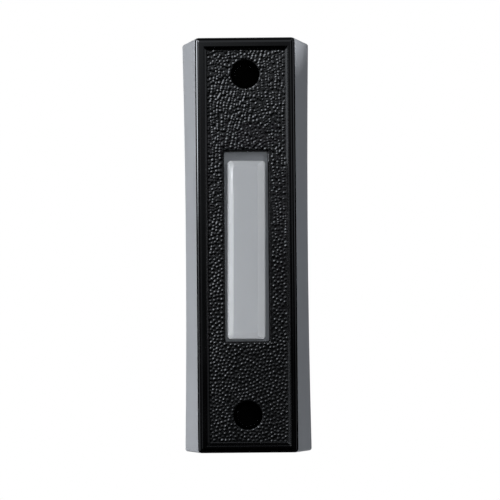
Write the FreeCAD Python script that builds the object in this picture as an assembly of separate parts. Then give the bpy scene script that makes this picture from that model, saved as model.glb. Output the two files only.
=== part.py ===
import FreeCAD, Part
import os
from math import cos, tan

# A bar-type bell push that is screwed upright to a wall. Millimetres, +Z up.
# The wall is the plane y = 0 and the front of the bell push faces -Y.
# The origin is the centre of the back, half way between the two screw holes.

V = FreeCAD.Vector
wall_plane = 0.0
past = 1.0                   # how far a cut runs past the face that it goes through

# Outer case
overall_height = 88.9
plate_width = 21.4
foot_width = 27.5
foot_waist = 0.43            # how far each long edge of the foot curves in at mid height
case_depth = 14.0            # from the wall to the front of the rim
case_wall = 1.5
web_thickness = 1.5
corner_radius = 0.6
rebate_land = 1.6            # width of the ring that the face plate's skirt sits on
rebate_gap = 0.1
case_edge_round = 0.25       # on the case's front edge, beside the plate

# Screw holes
screw_spacing = 73.0
screw_head_hole = 6.2
screw_hole = 4.7
screw_seat_depth = 2.8       # from the panel's face to the seat of the screw's head
screw_cup_wall = 0.8         # the face plate's cups, which the screws' heads sit in
screw_cup_floor = 1.0
screw_cup_gap = 0.1
screw_boss_wall = 1.1        # the case's bosses, which the cups sit in
rib_thickness = 1.0
rib_setback = 2.0            # from the wall to the back edge of the ribs

# Face plate
skirt_depth = 1.2
plate_corner = 0.85
rim_width = 1.8
rim_round = 0.75
recess_depth = 0.55
recess_draft = 0.6           # how far the recess wall slopes in on its way down
recess_shift = (0.2, -0.27)  # the recess lies a little right of and below the plate's middle
panel_thickness = 1.95
opening_width = 9.34
opening_height = 40.6
opening_drop = 0.4           # from the middle of the plate down to the middle of the opening
opening_lip = 0.3
opening_corner = 0.4
stake = 1.6                  # diameter of the pegs that are melted over behind the case
stake_head = 2.6
stake_head_height = 0.7
stake_gap = 0.1
stake_inset_x = 3.2          # from the edge of the plate to the pegs near its corners
stake_inset_z = 4.25
stake_middle_inset = 2.6     # the same for the two pegs at mid height

# Push bar
bar_width = 8.05
bar_height = 38.05
bar_rise = 1.85              # from the panel's face to the front of the bar
bar_crown = 0.35             # height of the bevels on the bar's front
bar_side_bevel = 1.5
bar_crown_shift = 0.2        # the bar's flat front lies a little to the left
bar_end_bevel = 3.0
bar_edge_radius = 0.35
bar_lean = 0.45              # degrees: the bar sits a little askew in its opening
bar_drop = 0.75              # and a little low
bar_skin = 1.4
bar_travel = 1.2
flange_width = 11.5
flange_height = 43.0
flange_thickness = 1.2
flange_corner = 0.8
flange_gap = 0.1             # between the flange and the back of the panel at rest
window_gap = 0.65            # round the flange, in the case's web
lamp_room_width = 5.4
lamp_room_height = 22.0

# Return springs
spring_wire = 0.4
spring_diameter = 3.9
spring_turns = 3.5           # working turns, besides the closed one at each end
spring_coil_gap = 0.04       # between the closed turns and the next
spring_inset = 6.9           # from the ends of the flange to the springs
spring_pocket = 5.4
spring_pocket_depth = 2.0
spring_room = 4.2            # from the back of the flange to the board
spigot_height = 1.0
spigot_gap = 0.15

# Contact board and its screws
board_width = 19.0
board_height = 61.0
board_thickness = 1.6
board_corner = 1.5
board_boss = 4.4
board_screw_pitch_x = 14.0
board_screw_pitch_z = 55.2
board_screw = 2.0
board_screw_length = 5.0
board_screw_head = 3.8
board_screw_head_height = 1.3
thread_gap = 0.03
hole_gap = 0.1

# Terminals
terminal_pitch = 11.0
bush = 3.6
bush_flange = 5.4
bush_flange_height = 0.8
bush_clench = 4.6
bush_clench_height = 0.5
washer = 6.2
washer_thickness = 0.7
terminal_screw = 2.5
terminal_screw_length = 4.4
terminal_head = 5.6
terminal_head_height = 1.6
slot_width = 0.9
slot_depth = 0.8

# Contact leaf, contact strip and their eyelets
leaf_thickness = 0.25
leaf_foot_width = 4.6
leaf_arm_width = 3.4
leaf_foot_end = 8.0          # below the terminal
leaf_bend_start = 3.0        # above the terminal
leaf_bend_run = 3.2
leaf_bend_radius = 0.75
leaf_tip_overhang = 2.4
strip_thickness = 0.5
strip_width = 4.6
strip_arm_width = 3.2
strip_overhang = 1.9
sheet_corner = 0.8           # rounding of the leaf's and the strip's corners
eyelet = 1.6
eyelet_bore = 0.9
eyelet_head = 2.8
eyelet_head_height = 0.4
eyelet_drop = 6.0            # below the terminals

# Contacts
contact_height = 10.8        # above the terminals
contact_button = 2.2
contact_button_height = 0.5
contact_shank = 1.2
contact_tail = 1.8
contact_tail_height = 0.25
contact_gap_closed = 0.05    # between the two contacts when the bar is pressed home
contact_clearance = 0.04
nib_width = 1.2
nib_height = 3.0
nib_inset = 0.15             # from the edge of the flange

# Lamp
bulb = 3.2
bulb_length = 6.6
bulb_gap = 0.1
socket_depth = 1.5
holder = 4.5
holder_collar = 5.8
holder_collar_height = 0.9
lead = 0.4
lead_pitch = 1.8
lead_bend = 0.35
lead_height = 0.4            # from the back of the board to the middle of the wire
lead_end_gap = 0.02          # to the rim of the bush

# Planes, from the front to the wall
rim_face = wall_plane - case_depth
case_face = rim_face + skirt_depth
panel_face = rim_face + recess_depth
panel_back = panel_face + panel_thickness
web_back = panel_back + web_thickness
bar_face = panel_face - bar_rise
flange_front = panel_back + flange_gap
flange_back = flange_front + flange_thickness
board_front = flange_back + spring_room
board_back = board_front + board_thickness
screw_seat = panel_face + screw_seat_depth
cup_back = screw_seat + screw_cup_floor
washer_seat = board_back + bush_flange_height
head_seat = washer_seat + washer_thickness
strip_front = board_front - strip_thickness
fixed_face = strip_front - contact_button_height
moving_face = fixed_face - bar_travel - contact_gap_closed
leaf_back = moving_face - contact_button_height - contact_clearance
leaf_front = leaf_back - leaf_thickness
tail_front = leaf_front - contact_clearance - contact_tail_height

# Places
screw_places = (-screw_spacing / 2, screw_spacing / 2)
screw_cup = screw_head_hole + 2 * screw_cup_wall
cup_socket = screw_cup + 2 * screw_cup_gap
screw_boss = cup_socket + 2 * screw_boss_wall
spring_reach = flange_height / 2 - spring_inset
spring_places = {"upper": spring_reach, "lower": -spring_reach}
sides = {"left": -1, "right": 1}
ends = {"upper": 1, "lower": -1}
terminal_x = terminal_pitch / 2
bar_offset = opening_drop + bar_drop


def block(width, height, front, back, x=0.0, z=0.0):
    corner = V(x - width / 2, front, z - height / 2)
    return Part.makeBox(width, back - front, height, corner)


def rod(diameter, front, back, x=0.0, z=0.0):
    return Part.makeCylinder(diameter / 2, back - front, V(x, front, z), V(0, 1, 0))


def through_edges(shape):
    # edges that run from the front to the back
    found = []
    for edge in shape.Edges:
        chord = edge.Vertexes[-1].Point - edge.Vertexes[0].Point
        if abs(chord.y) > 0.9 * chord.Length > 0:
            found.append(edge)
    return found


def edges_at(shape, depth):
    # edges that lie in the plane y = depth
    found = []
    for edge in shape.Edges:
        first, last = edge.ParameterRange
        depths = [edge.valueAt(at).y for at in (first, (first + last) / 2, last)]
        if all(abs(y - depth) < 1e-6 for y in depths):
            found.append(edge)
    return found


def round_block(width, height, front, back, radius, x=0.0, z=0.0):
    plain = block(width, height, front, back, x, z)
    return plain.makeFillet(radius, through_edges(plain))


def outline(width, height, depth, waist=0.0):
    # rectangle at one depth, whose long edges curve in by the waist at mid height
    left, right = -width / 2, width / 2
    low, high = -height / 2, height / 2
    corners = [V(left, depth, low), V(right, depth, low), V(right, depth, high), V(left, depth, high)]
    edges = [Part.LineSegment(corners[0], corners[1])]
    if waist:
        edges.append(Part.Arc(corners[1], V(right - waist, depth, 0), corners[2]))
    else:
        edges.append(Part.LineSegment(corners[1], corners[2]))
    edges.append(Part.LineSegment(corners[2], corners[3]))
    if waist:
        edges.append(Part.Arc(corners[3], V(left + waist, depth, 0), corners[0]))
    else:
        edges.append(Part.LineSegment(corners[3], corners[0]))
    return Part.Wire([e.toShape() for e in edges])


def flared(inset, front, back):
    # the case's outer form between two depths, with its sides moved in by the inset
    wires = []
    for depth in (front, back):
        share = (depth - case_face) / (wall_plane - case_face)
        width = plate_width + (foot_width - plate_width) * share
        wires.append(outline(width - 2 * inset, overall_height - 2 * inset, depth, foot_waist * share))
    return Part.makeLoft(wires, True, True)


def stake_places():
    corner_x = plate_width / 2 - stake_inset_x
    corner_z = overall_height / 2 - stake_inset_z
    middle_x = plate_width / 2 - stake_middle_inset
    places = [(side * corner_x, end * corner_z) for side in (-1, 1) for end in (-1, 1)]
    return places + [(-middle_x, 0.0), (middle_x, 0.0)]


def board_screw_places():
    return {
        f"{end}_{side}": (sides[side] * board_screw_pitch_x / 2, ends[end] * board_screw_pitch_z / 2)
        for end in ends
        for side in sides
    }


def make_outer_case():
    outside = flared(0.0, case_face, wall_plane)
    outside = outside.makeFillet(corner_radius, through_edges(outside))
    outside = outside.makeFillet(case_edge_round, edges_at(outside, case_face))
    case = outside.cut(flared(case_wall, web_back, wall_plane + past))
    rebate_width = plate_width - 2 * rebate_land
    rebate_height = overall_height - 2 * rebate_land
    case = case.cut(block(rebate_width, rebate_height, case_face - past, panel_back))
    for z in screw_places:
        case = case.fuse(rod(screw_boss, panel_back, wall_plane, 0.0, z))
        rib_back = wall_plane - rib_setback
        cross_rib = block(foot_width, rib_thickness, web_back, rib_back, 0.0, z)
        to_end = overall_height / 2 - abs(z) - case_wall / 2
        end_middle = z + to_end / 2 if z > 0 else z - to_end / 2
        end_rib = block(rib_thickness, to_end, web_back, rib_back, 0.0, end_middle)
        case = case.fuse(cross_rib.common(outside))
        case = case.fuse(end_rib.common(outside))
    for x, z in board_screw_places().values():
        case = case.fuse(rod(board_boss, web_back, board_front, x, z))
        case = case.cut(rod(board_screw + 2 * thread_gap, web_back, board_front + past, x, z))
    window_width = flange_width + 2 * window_gap
    window_height = flange_height + 2 * window_gap + bar_drop
    window = round_block(window_width, window_height, panel_back - past, web_back + past, flange_corner)
    window.translate(V(0, 0, -opening_drop))
    case = case.cut(window)
    for z in screw_places:
        case = case.cut(rod(cup_socket, panel_back - past, cup_back, 0.0, z))
        case = case.cut(rod(screw_hole, cup_back - past, wall_plane + past, 0.0, z))
    for x, z in stake_places():
        case = case.cut(rod(stake + 2 * stake_gap, panel_back - past, web_back + past, x, z))
    return case.removeSplitter()


def make_face_plate():
    skirt = round_block(plate_width, overall_height, rim_face, case_face, plate_corner)
    skirt = skirt.makeFillet(rim_round, edges_at(skirt, rim_face))
    plug_inset = 2 * (rebate_land + rebate_gap)
    plug = block(plate_width - plug_inset, overall_height - plug_inset, case_face, panel_back)
    plate = skirt.fuse(plug)
    mouth = outline(plate_width - 2 * rim_width, overall_height - 2 * rim_width, rim_face)
    floor_inset = 2 * (rim_width + recess_draft)
    floor = outline(plate_width - floor_inset, overall_height - floor_inset, panel_face)
    recess = Part.makeLoft([mouth, floor], True, True)
    recess.translate(V(recess_shift[0], 0, recess_shift[1]))
    plate = plate.cut(recess)
    before, beyond = panel_face - past, panel_back + past
    opening = round_block(opening_width, opening_height, before, beyond, opening_corner)
    opening.translate(V(0, 0, -opening_drop))
    lip_width = opening_width + 2 * opening_lip
    lip_height = opening_height + 2 * opening_lip
    lip_mouth = outline(lip_width, lip_height, panel_face)
    lip_foot = outline(opening_width, opening_height, panel_face + opening_lip)
    plate = plate.cut(opening)
    lip = Part.makeLoft([lip_mouth, lip_foot], True, True)
    lip.translate(V(0, 0, -opening_drop))
    plate = plate.cut(lip)
    for z in screw_places:
        plate = plate.fuse(rod(screw_cup, panel_back, cup_back, 0.0, z))
        plate = plate.cut(rod(screw_head_hole, before, screw_seat, 0.0, z))
        plate = plate.cut(rod(screw_hole, before, cup_back + past, 0.0, z))
    for x, z in stake_places():
        plate = plate.fuse(rod(stake, panel_back, web_back, x, z))
        head_back = web_back + stake_head_height
        head = rod(stake_head, web_back, head_back, x, z)
        plate = plate.fuse(head.makeFillet(stake_head_height / 2, edges_at(head, head_back)))
    return plate.removeSplitter()


def make_push_bar():
    shoulder = bar_face + bar_crown
    body = block(bar_width, bar_height, shoulder, flange_front)
    foot = outline(bar_width, bar_height, shoulder)
    crown = outline(bar_width - 2 * bar_side_bevel, bar_height - 2 * bar_end_bevel, bar_face)
    crown.translate(V(-bar_crown_shift, 0, 0))
    bar = body.fuse(Part.makeLoft([crown, foot], True, True))
    bar = bar.makeFillet(bar_edge_radius, through_edges(bar) + edges_at(bar, shoulder))
    flange = round_block(flange_width, flange_height, flange_front, flange_back, flange_corner)
    bar = bar.fuse(flange)
    room = block(lamp_room_width, lamp_room_height, bar_face + bar_skin, flange_back + past)
    room.translate(V(0, 0, bar_offset))
    bar = bar.cut(room)
    pocket_front = flange_back - spring_pocket_depth
    for z in spring_places.values():
        bar = bar.cut(rod(spring_pocket, pocket_front, flange_back + past, 0.0, z + bar_offset))
    nib_x = -flange_width / 2 + nib_inset + nib_width / 2
    nib = block(nib_width, nib_height, flange_back, tail_front, nib_x, contact_height + bar_offset)
    bar = bar.fuse(nib).removeSplitter()
    bar.rotate(V(0, 0, 0), V(0, 1, 0), bar_lean)
    bar.translate(V(0, 0, -bar_offset))
    return bar


def make_contact_board():
    board = round_block(board_width, board_height, board_front, board_back, board_corner)
    spigot = spring_diameter - 2 * spring_wire - 2 * spigot_gap
    for z in spring_places.values():
        peg = rod(spigot, board_front - spigot_height, board_front, 0.0, z)
        top = edges_at(peg, board_front - spigot_height)
        board = board.fuse(peg.makeChamfer(spigot_height / 4, top))
    holes = [(holder, 0.0, 0.0)]
    for x, z in board_screw_places().values():
        holes.append((board_screw, x, z))
    for side in sides.values():
        holes.append((bush, side * terminal_x, 0.0))
        holes.append((eyelet, side * terminal_x, -eyelet_drop))
    for diameter, x, z in holes:
        board = board.cut(rod(diameter + 2 * hole_gap, board_front - past, board_back + past, x, z))
    return board.removeSplitter()


def make_screw(shank, length, head, head_height, seat, x, z):
    # pan-head screw whose head sits on the plane y = seat and faces the wall
    cap = rod(head, seat, seat + head_height, x, z)
    cap = cap.makeFillet(head_height * 0.45, edges_at(cap, seat + head_height))
    stem = rod(shank, seat - length, seat, x, z)
    stem = stem.makeChamfer(shank / 6, edges_at(stem, seat - length))
    return cap.fuse(stem).removeSplitter()


def make_board_screw(x, z):
    screw = make_screw(
        board_screw, board_screw_length, board_screw_head, board_screw_head_height, board_back, x, z
    )
    top = board_back + board_screw_head_height
    recess_length = board_screw_head * 0.6
    recess_width = board_screw_head * 0.14
    recess_front = top - board_screw_head_height / 2
    screw = screw.cut(block(recess_length, recess_width, recess_front, top + past, x, z))
    return screw.cut(block(recess_width, recess_length, recess_front, top + past, x, z))


def make_terminal_screw(x):
    screw = make_screw(
        terminal_screw, terminal_screw_length, terminal_head, terminal_head_height, head_seat, x, 0.0
    )
    top = head_seat + terminal_head_height
    return screw.cut(block(terminal_head + past, slot_width, top - slot_depth, top + past, x))


def make_terminal_bush(x, clenched_on):
    # the clench stands on the front of the leaf or the strip
    front = clenched_on - bush_clench_height
    body = rod(bush_flange, board_back, washer_seat, x)
    body = body.fuse(rod(bush, front, board_back, x))
    clench = rod(bush_clench, front, clenched_on, x)
    body = body.fuse(clench.makeFillet(bush_clench_height / 2, edges_at(clench, front)))
    bore = rod(terminal_screw + 2 * thread_gap, front - past, washer_seat + past, x)
    return body.cut(bore).removeSplitter()


def make_terminal_washer(x):
    plate = rod(washer, washer_seat, head_seat, x)
    plate = plate.makeChamfer(washer_thickness / 4, edges_at(plate, head_seat))
    return plate.cut(rod(terminal_screw + 2 * hole_gap, washer_seat - past, head_seat + past, x))


def make_eyelet(x, clenched_on):
    z = -eyelet_drop
    front = clenched_on - eyelet_head_height
    back = board_back + eyelet_head_height
    solid = rod(eyelet, front, back, x, z)
    for depth, edge in ((front, front), (board_back, back)):
        head = rod(eyelet_head, depth, depth + eyelet_head_height, x, z)
        solid = solid.fuse(head.makeFillet(eyelet_head_height / 2, edges_at(head, edge)))
    return solid.cut(rod(eyelet_bore, front - past, back + past, x, z)).removeSplitter()


def rounded_path(points, radius):
    # straight runs joined by tangent arcs at the points between
    edges = []
    start = points[0]
    for before, corner, after in zip(points, points[1:], points[2:]):
        into = (corner - before).normalize()
        out = (after - corner).normalize()
        half_turn = into.getAngle(out) / 2
        trim = radius * tan(half_turn)
        inward = (out - into).normalize()
        arc_start = corner - into * trim
        arc_middle = corner + inward * (radius / cos(half_turn) - radius)
        arc_end = corner + out * trim
        edges.append(Part.LineSegment(start, arc_start).toShape())
        edges.append(Part.Arc(arc_start, arc_middle, arc_end).toShape())
        start = arc_end
    edges.append(Part.LineSegment(start, points[-1]).toShape())
    return Part.Wire(edges)


def sheet_blank(width, low, high, front, x):
    # blank with rounded corners, from one height to another, that ends on the board
    return round_block(width, high - low, front, board_front, sheet_corner, x, (low + high) / 2)


def make_contact_leaf():
    # the foot lies on the board and the arm stands off it, towards the bar
    x = -terminal_x
    foot_end = -leaf_foot_end
    tip = contact_height + leaf_tip_overhang
    bend_end = leaf_bend_start + leaf_bend_run
    edge = x - leaf_foot_width / 2
    route = [
        V(edge, board_front, foot_end),
        V(edge, board_front, leaf_bend_start),
        V(edge, leaf_back, bend_end),
        V(edge, leaf_back, tip),
    ]
    back = rounded_path(route, leaf_bend_radius)
    side_face = back.makeOffset2D(-leaf_thickness, 0, True, True)
    band = side_face.extrude(V(leaf_foot_width, 0, 0))
    front = leaf_front - past
    foot = sheet_blank(leaf_foot_width, foot_end, leaf_bend_start, front, x)
    arm = sheet_blank(leaf_arm_width, foot_end, tip, front, x)
    leaf = band.common(foot.fuse(arm))
    leaf = leaf.cut(rod(bush + 2 * hole_gap, front, board_front + past, x))
    leaf = leaf.cut(rod(eyelet + 2 * hole_gap, front, board_front + past, x, -eyelet_drop))
    shank_hole = contact_shank + 2 * contact_clearance
    leaf = leaf.cut(rod(shank_hole, front, leaf_back + past, x, contact_height))
    return leaf.removeSplitter()


def make_contact_strip():
    low = contact_height - strip_arm_width / 2
    high = contact_height + strip_arm_width / 2
    upright = sheet_blank(strip_width, -leaf_foot_end, high, strip_front, terminal_x)
    left = -terminal_x - strip_overhang
    right = terminal_x + strip_width / 2
    arm = sheet_blank(right - left, low, high, strip_front, (left + right) / 2)
    strip = upright.fuse(arm)
    front = strip_front - past
    back = board_front + past
    strip = strip.cut(rod(bush + 2 * hole_gap, front, back, terminal_x))
    strip = strip.cut(rod(eyelet + 2 * hole_gap, front, back, terminal_x, -eyelet_drop))
    shank_hole = contact_shank + 2 * contact_clearance
    strip = strip.cut(rod(shank_hole, front, back, -terminal_x, contact_height))
    return strip.removeSplitter()


def make_fixed_contact():
    x, z = -terminal_x, contact_height
    head = rod(contact_button, fixed_face, strip_front, x, z)
    head = head.makeFillet(contact_button_height / 2, edges_at(head, fixed_face))
    return head.fuse(rod(contact_shank, strip_front, board_front, x, z)).removeSplitter()


def make_moving_contact():
    # it rides on the leaf's free end, with a little play round the leaf
    x, z = -terminal_x, contact_height
    head_front = moving_face - contact_button_height
    head = rod(contact_button, head_front, moving_face, x, z)
    head = head.makeFillet(contact_button_height / 2, edges_at(head, moving_face))
    shank = rod(contact_shank, tail_front, head_front, x, z)
    tail = rod(contact_tail, tail_front, tail_front + contact_tail_height, x, z)
    return head.fuse(shank).fuse(tail).removeSplitter()


def make_return_spring(z):
    # tilted half turns, which meet tangentially, with one closed turn at each end
    front = flange_back - spring_pocket_depth + spring_wire / 2
    back = board_front - spring_wire / 2
    closed_rise = (spring_wire + spring_coil_gap) / 2
    active_rise = (back - front - 4 * closed_rise) / (2 * spring_turns)
    rises = [closed_rise] * 2 + [active_rise] * round(2 * spring_turns) + [closed_rise] * 2
    radius = (spring_diameter - spring_wire) / 2
    half_turns = []
    y = front
    side = 1
    for rise in rises:
        section = Part.Face(Part.Wire(Part.makeCircle(spring_wire / 2, V(side * radius, y, z), V(0, 0, 1))))
        middle = V(0, y + rise / 2, z)
        half_turns.append(section.revolve(middle, V(-side * rise / 2, -radius, 0), 180))
        y += rise
        side = -side
    return half_turns[0].multiFuse(half_turns[1:])


def make_lamp_bulb():
    socket_floor = board_front - holder_collar_height + socket_depth
    glass = rod(bulb, socket_floor - bulb_length, socket_floor)
    return glass.makeFillet(bulb * 0.47, edges_at(glass, socket_floor - bulb_length))


def make_lamp_holder():
    collar_front = board_front - holder_collar_height
    socket_floor = collar_front + socket_depth
    grommet = rod(holder_collar, collar_front, board_front)
    grommet = grommet.makeFillet(holder_collar_height / 3, edges_at(grommet, collar_front))
    grommet = grommet.fuse(rod(holder, board_front, board_back))
    grommet = grommet.cut(rod(bulb + 2 * bulb_gap, collar_front - past, socket_floor))
    for side in sides.values():
        x = side * lead_pitch / 2
        grommet = grommet.cut(rod(lead + 2 * hole_gap, socket_floor - past, board_back + past, x))
    return grommet.removeSplitter()


def make_lamp_lead(side):
    # out of the back of the holder and across to the rim of the terminal's bush
    socket_floor = board_front - holder_collar_height + socket_depth
    run = board_back + lead_height
    near = side * lead_pitch / 2
    far = side * (terminal_x - bush_flange / 2 - lead_end_gap)
    path = rounded_path([V(near, socket_floor, 0), V(near, run, 0), V(far, run, 0)], lead_bend)
    section = Part.Wire(Part.makeCircle(lead / 2, V(near, socket_floor, 0), V(0, 1, 0)))
    return path.makePipeShell([section], True, False)


def all_pieces():
    pieces = {
        "outer_case": make_outer_case(),
        "face_plate": make_face_plate(),
        "push_bar": make_push_bar(),
        "contact_board": make_contact_board(),
        "contact_leaf": make_contact_leaf(),
        "contact_strip": make_contact_strip(),
        "fixed_contact": make_fixed_contact(),
        "moving_contact": make_moving_contact(),
        "leaf_eyelet": make_eyelet(-terminal_x, board_front - leaf_thickness),
        "strip_eyelet": make_eyelet(terminal_x, strip_front),
        "terminal_bush_left": make_terminal_bush(-terminal_x, board_front - leaf_thickness),
        "terminal_bush_right": make_terminal_bush(terminal_x, strip_front),
        "lamp_bulb": make_lamp_bulb(),
        "lamp_holder": make_lamp_holder(),
    }
    for place, (x, z) in board_screw_places().items():
        pieces[f"board_screw_{place}"] = make_board_screw(x, z)
    for end, z in spring_places.items():
        pieces[f"return_spring_{end}"] = make_return_spring(z)
    for name, side in sides.items():
        pieces[f"terminal_screw_{name}"] = make_terminal_screw(side * terminal_x)
        pieces[f"terminal_washer_{name}"] = make_terminal_washer(side * terminal_x)
        pieces[f"lamp_lead_{name}"] = make_lamp_lead(side)
    return pieces


os.makedirs("parts", exist_ok=True)
for node, shape in all_pieces().items():
    if shape.ShapeType == "Compound" and len(shape.Solids) == 1:
        shape = shape.Solids[0]
    shape.exportStep(f"parts/{node}.step")
    print(f"{node}: {len(shape.Solids)} solid, valid {shape.isValid()}, {shape.Volume:.2f} mm3")
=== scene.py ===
from math import ceil, cos, pi, radians, sin, tau

import bmesh
import bpy
import numpy as np
from mathutils import Matrix, Vector


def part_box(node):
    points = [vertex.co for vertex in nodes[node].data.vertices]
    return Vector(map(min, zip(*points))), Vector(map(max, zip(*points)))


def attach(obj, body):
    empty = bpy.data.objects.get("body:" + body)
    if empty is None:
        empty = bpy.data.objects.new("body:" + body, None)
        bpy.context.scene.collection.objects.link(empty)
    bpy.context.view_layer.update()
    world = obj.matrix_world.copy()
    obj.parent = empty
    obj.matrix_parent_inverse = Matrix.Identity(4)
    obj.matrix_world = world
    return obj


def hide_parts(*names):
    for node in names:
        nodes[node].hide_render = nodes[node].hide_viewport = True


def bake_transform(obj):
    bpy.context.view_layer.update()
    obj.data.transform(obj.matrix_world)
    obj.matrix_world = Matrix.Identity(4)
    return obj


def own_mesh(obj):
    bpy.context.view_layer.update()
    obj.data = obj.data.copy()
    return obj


mm = 0.001

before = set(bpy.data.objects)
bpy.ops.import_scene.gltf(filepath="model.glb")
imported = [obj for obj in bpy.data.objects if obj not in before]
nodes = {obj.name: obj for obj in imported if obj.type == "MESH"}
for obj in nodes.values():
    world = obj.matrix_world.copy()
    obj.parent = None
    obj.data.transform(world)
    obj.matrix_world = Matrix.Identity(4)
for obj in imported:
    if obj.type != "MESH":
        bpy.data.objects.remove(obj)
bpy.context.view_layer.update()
print("frame:", len(nodes), "nodes")


# Meshes

cadCrease = 32              # degrees from which an edge of a CAD piece stays crisp
weld = 2e-6                 # corners of a CAD piece that lie nearer than this are joined
cornerSteps = 6             # faces round one corner of a rounded rectangle


def newObject(name, data):
    thing = bpy.data.objects.new(name, data)
    bpy.context.scene.collection.objects.link(thing)
    return thing


def meshFrom(shell, name):
    mesh = bpy.data.meshes.new(name)
    shell.to_mesh(mesh)
    shell.free()
    return mesh


def finishPiece(piece, material, slotName, body, *replaced):
    piece.data.materials.clear()
    piece.data.materials.append(material)
    if replaced:
        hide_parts(*replaced)
    if body:
        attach(piece, body)


def smoothByAngle(mesh, degrees):
    mesh.shade_smooth()
    mesh.set_sharp_from_angle(angle=radians(degrees))


def cadCopy(node, name):
    # the CAD piece as one connected, smoothly shaded mesh
    mesh = nodes[node].data.copy()
    mesh.name = name
    shell = bmesh.new()
    shell.from_mesh(mesh)
    bmesh.ops.remove_doubles(shell, verts=shell.verts, dist=weld)
    shell.to_mesh(mesh)
    shell.free()
    for layer in ("custom_normal", "sharp_edge", "sharp_face"):
        found = mesh.attributes.get(layer)
        if found:
            mesh.attributes.remove(found)
    smoothByAngle(mesh, cadCrease)
    return newObject(name, mesh)


def applyModifiers(thing):
    # the evaluated mesh takes the place of the modifiers
    shown = thing.evaluated_get(bpy.context.evaluated_depsgraph_get())
    mesh = bpy.data.meshes.new_from_object(shown)
    old = thing.data
    thing.modifiers.clear()
    thing.data = mesh
    mesh.name = thing.name
    bpy.data.meshes.remove(old)
    return thing


def roundedRing(halfWidth, halfHeight, radius):
    # points of a rounded rectangle in x and z, corner by corner
    points = []
    for corner, (sx, sz) in enumerate(((1, 1), (-1, 1), (-1, -1), (1, -1))):
        for step in range(cornerSteps + 1):
            turn = (corner + step / cornerSteps) * pi / 2
            x = sx * (halfWidth - radius) + radius * cos(turn)
            z = sz * (halfHeight - radius) + radius * sin(turn)
            points.append((x, z))
    return points


def loftRings(name, rings):
    # rings are (depth, points) from the front to the back, and a point may add to the depth;
    # both ends are closed
    shell = bmesh.new()
    loops = []
    for depth, points in rings:
        loops.append([
            shell.verts.new((x * mm, (depth + sum(more)) * mm, z * mm)) for x, z, *more in points
        ])
    for near, far in zip(loops, loops[1:]):
        for here in range(len(near)):
            there = (here + 1) % len(near)
            shell.faces.new((near[here], far[here], far[there], near[there]))
    shell.faces.new(loops[0])
    shell.faces.new(loops[-1][::-1])
    bmesh.ops.recalc_face_normals(shell, faces=shell.faces)
    return newObject(name, meshFrom(shell, name))


# Nodes

def fill(tree, node, values):
    # each socket takes a constant or a link; a node stands for its first output
    for label, value in values.items():
        if isinstance(value, bpy.types.Node):
            value = value.outputs[0]
        if isinstance(value, bpy.types.NodeSocket):
            tree.links.new(value, node.inputs[label])
        else:
            node.inputs[label].default_value = value


def addNode(tree, kind, values=None, operation=None):
    node = tree.nodes.new(kind)
    if operation:
        node.operation = operation
    fill(tree, node, values or {})
    return node


def mathNode(tree, operation, *values):
    return addNode(tree, "ShaderNodeMath", dict(enumerate(values)), operation)


# Shared surface effects

def newGroup(name, inputs, outputs):
    group = bpy.data.node_groups.new(name, "ShaderNodeTree")
    for label, value in inputs.items():
        socket = group.interface.new_socket(label, in_out="INPUT", socket_type="NodeSocketFloat")
        socket.default_value = value
    for label in outputs:
        group.interface.new_socket(label, in_out="OUTPUT", socket_type="NodeSocketFloat")
    return group, group.nodes.new("NodeGroupInput").outputs, group.nodes.new("NodeGroupOutput")


def mouldedSkinGroup():
    # fine skin of a moulded surface, and broad, faint clouding of its finish
    group, given, out = newGroup(
        "mouldedSkin", {"Fine scale": 5200.0, "Cloud scale": 90.0}, ("Height", "Cloud")
    )
    place = addNode(group, "ShaderNodeTexCoord").outputs["Object"]
    fine = addNode(group, "ShaderNodeTexNoise", {
        "Vector": place, "Scale": given["Fine scale"], "Detail": 3.0, "Roughness": 0.55,
    })
    cloud = addNode(group, "ShaderNodeTexNoise", {
        "Vector": place, "Scale": given["Cloud scale"], "Detail": 4.0,
    })
    fill(group, out, {"Height": fine, "Cloud": cloud})
    return group


def drawnMetalGroup():
    # fine lines along one direction, as on rolled strip and turned parts
    group, given, out = newGroup(
        "drawnMetal", {"Scale": 900.0, "Stretch": 12.0}, ("Height", "Tarnish")
    )
    place = addNode(group, "ShaderNodeTexCoord").outputs["Object"]
    stretch = addNode(group, "ShaderNodeCombineXYZ", {"X": 1.0, "Y": given["Stretch"], "Z": 1.0})
    scaled = addNode(group, "ShaderNodeVectorMath", {0: place, 1: stretch}, "MULTIPLY")
    lines = addNode(group, "ShaderNodeTexNoise", {
        "Vector": scaled, "Scale": given["Scale"], "Detail": 2.0,
    })
    tarnish = addNode(group, "ShaderNodeTexNoise", {"Vector": place, "Scale": 420.0, "Detail": 5.0})
    fill(group, out, {"Height": lines, "Tarnish": tarnish})
    return group


mouldedSkin = mouldedSkinGroup()
drawnMetal = drawnMetalGroup()


# Finishes

finish = {
    "maskRange": (0.3, 0.7),            # the middle of a mask, which drives a value or a colour
    "plasticSpread": (-0.03, 0.03),     # how the clouding changes the roughness
    "metalSpread": (0.1, -0.04),
    "metalRelief": 0.006,
    "scatter": 0.8,                     # how far light goes inside the translucent bar
}

deepBlack = (0.0005, 0.0005, 0.0006), (0.0008, 0.0008, 0.0009)
softBlack = (0.0008, 0.0008, 0.0009), (0.0012, 0.0012, 0.0013)
milkWhite = (0.862, 0.888, 0.945), (0.875, 0.9, 0.955)


def newMaterial(name, values):
    # a material, its tree and its shader with the given constants
    material = bpy.data.materials.new(name)
    material.use_nodes = True
    tree = material.node_tree
    shader = tree.nodes["Principled BSDF"]
    fill(tree, shader, values)
    return material, tree, shader


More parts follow.
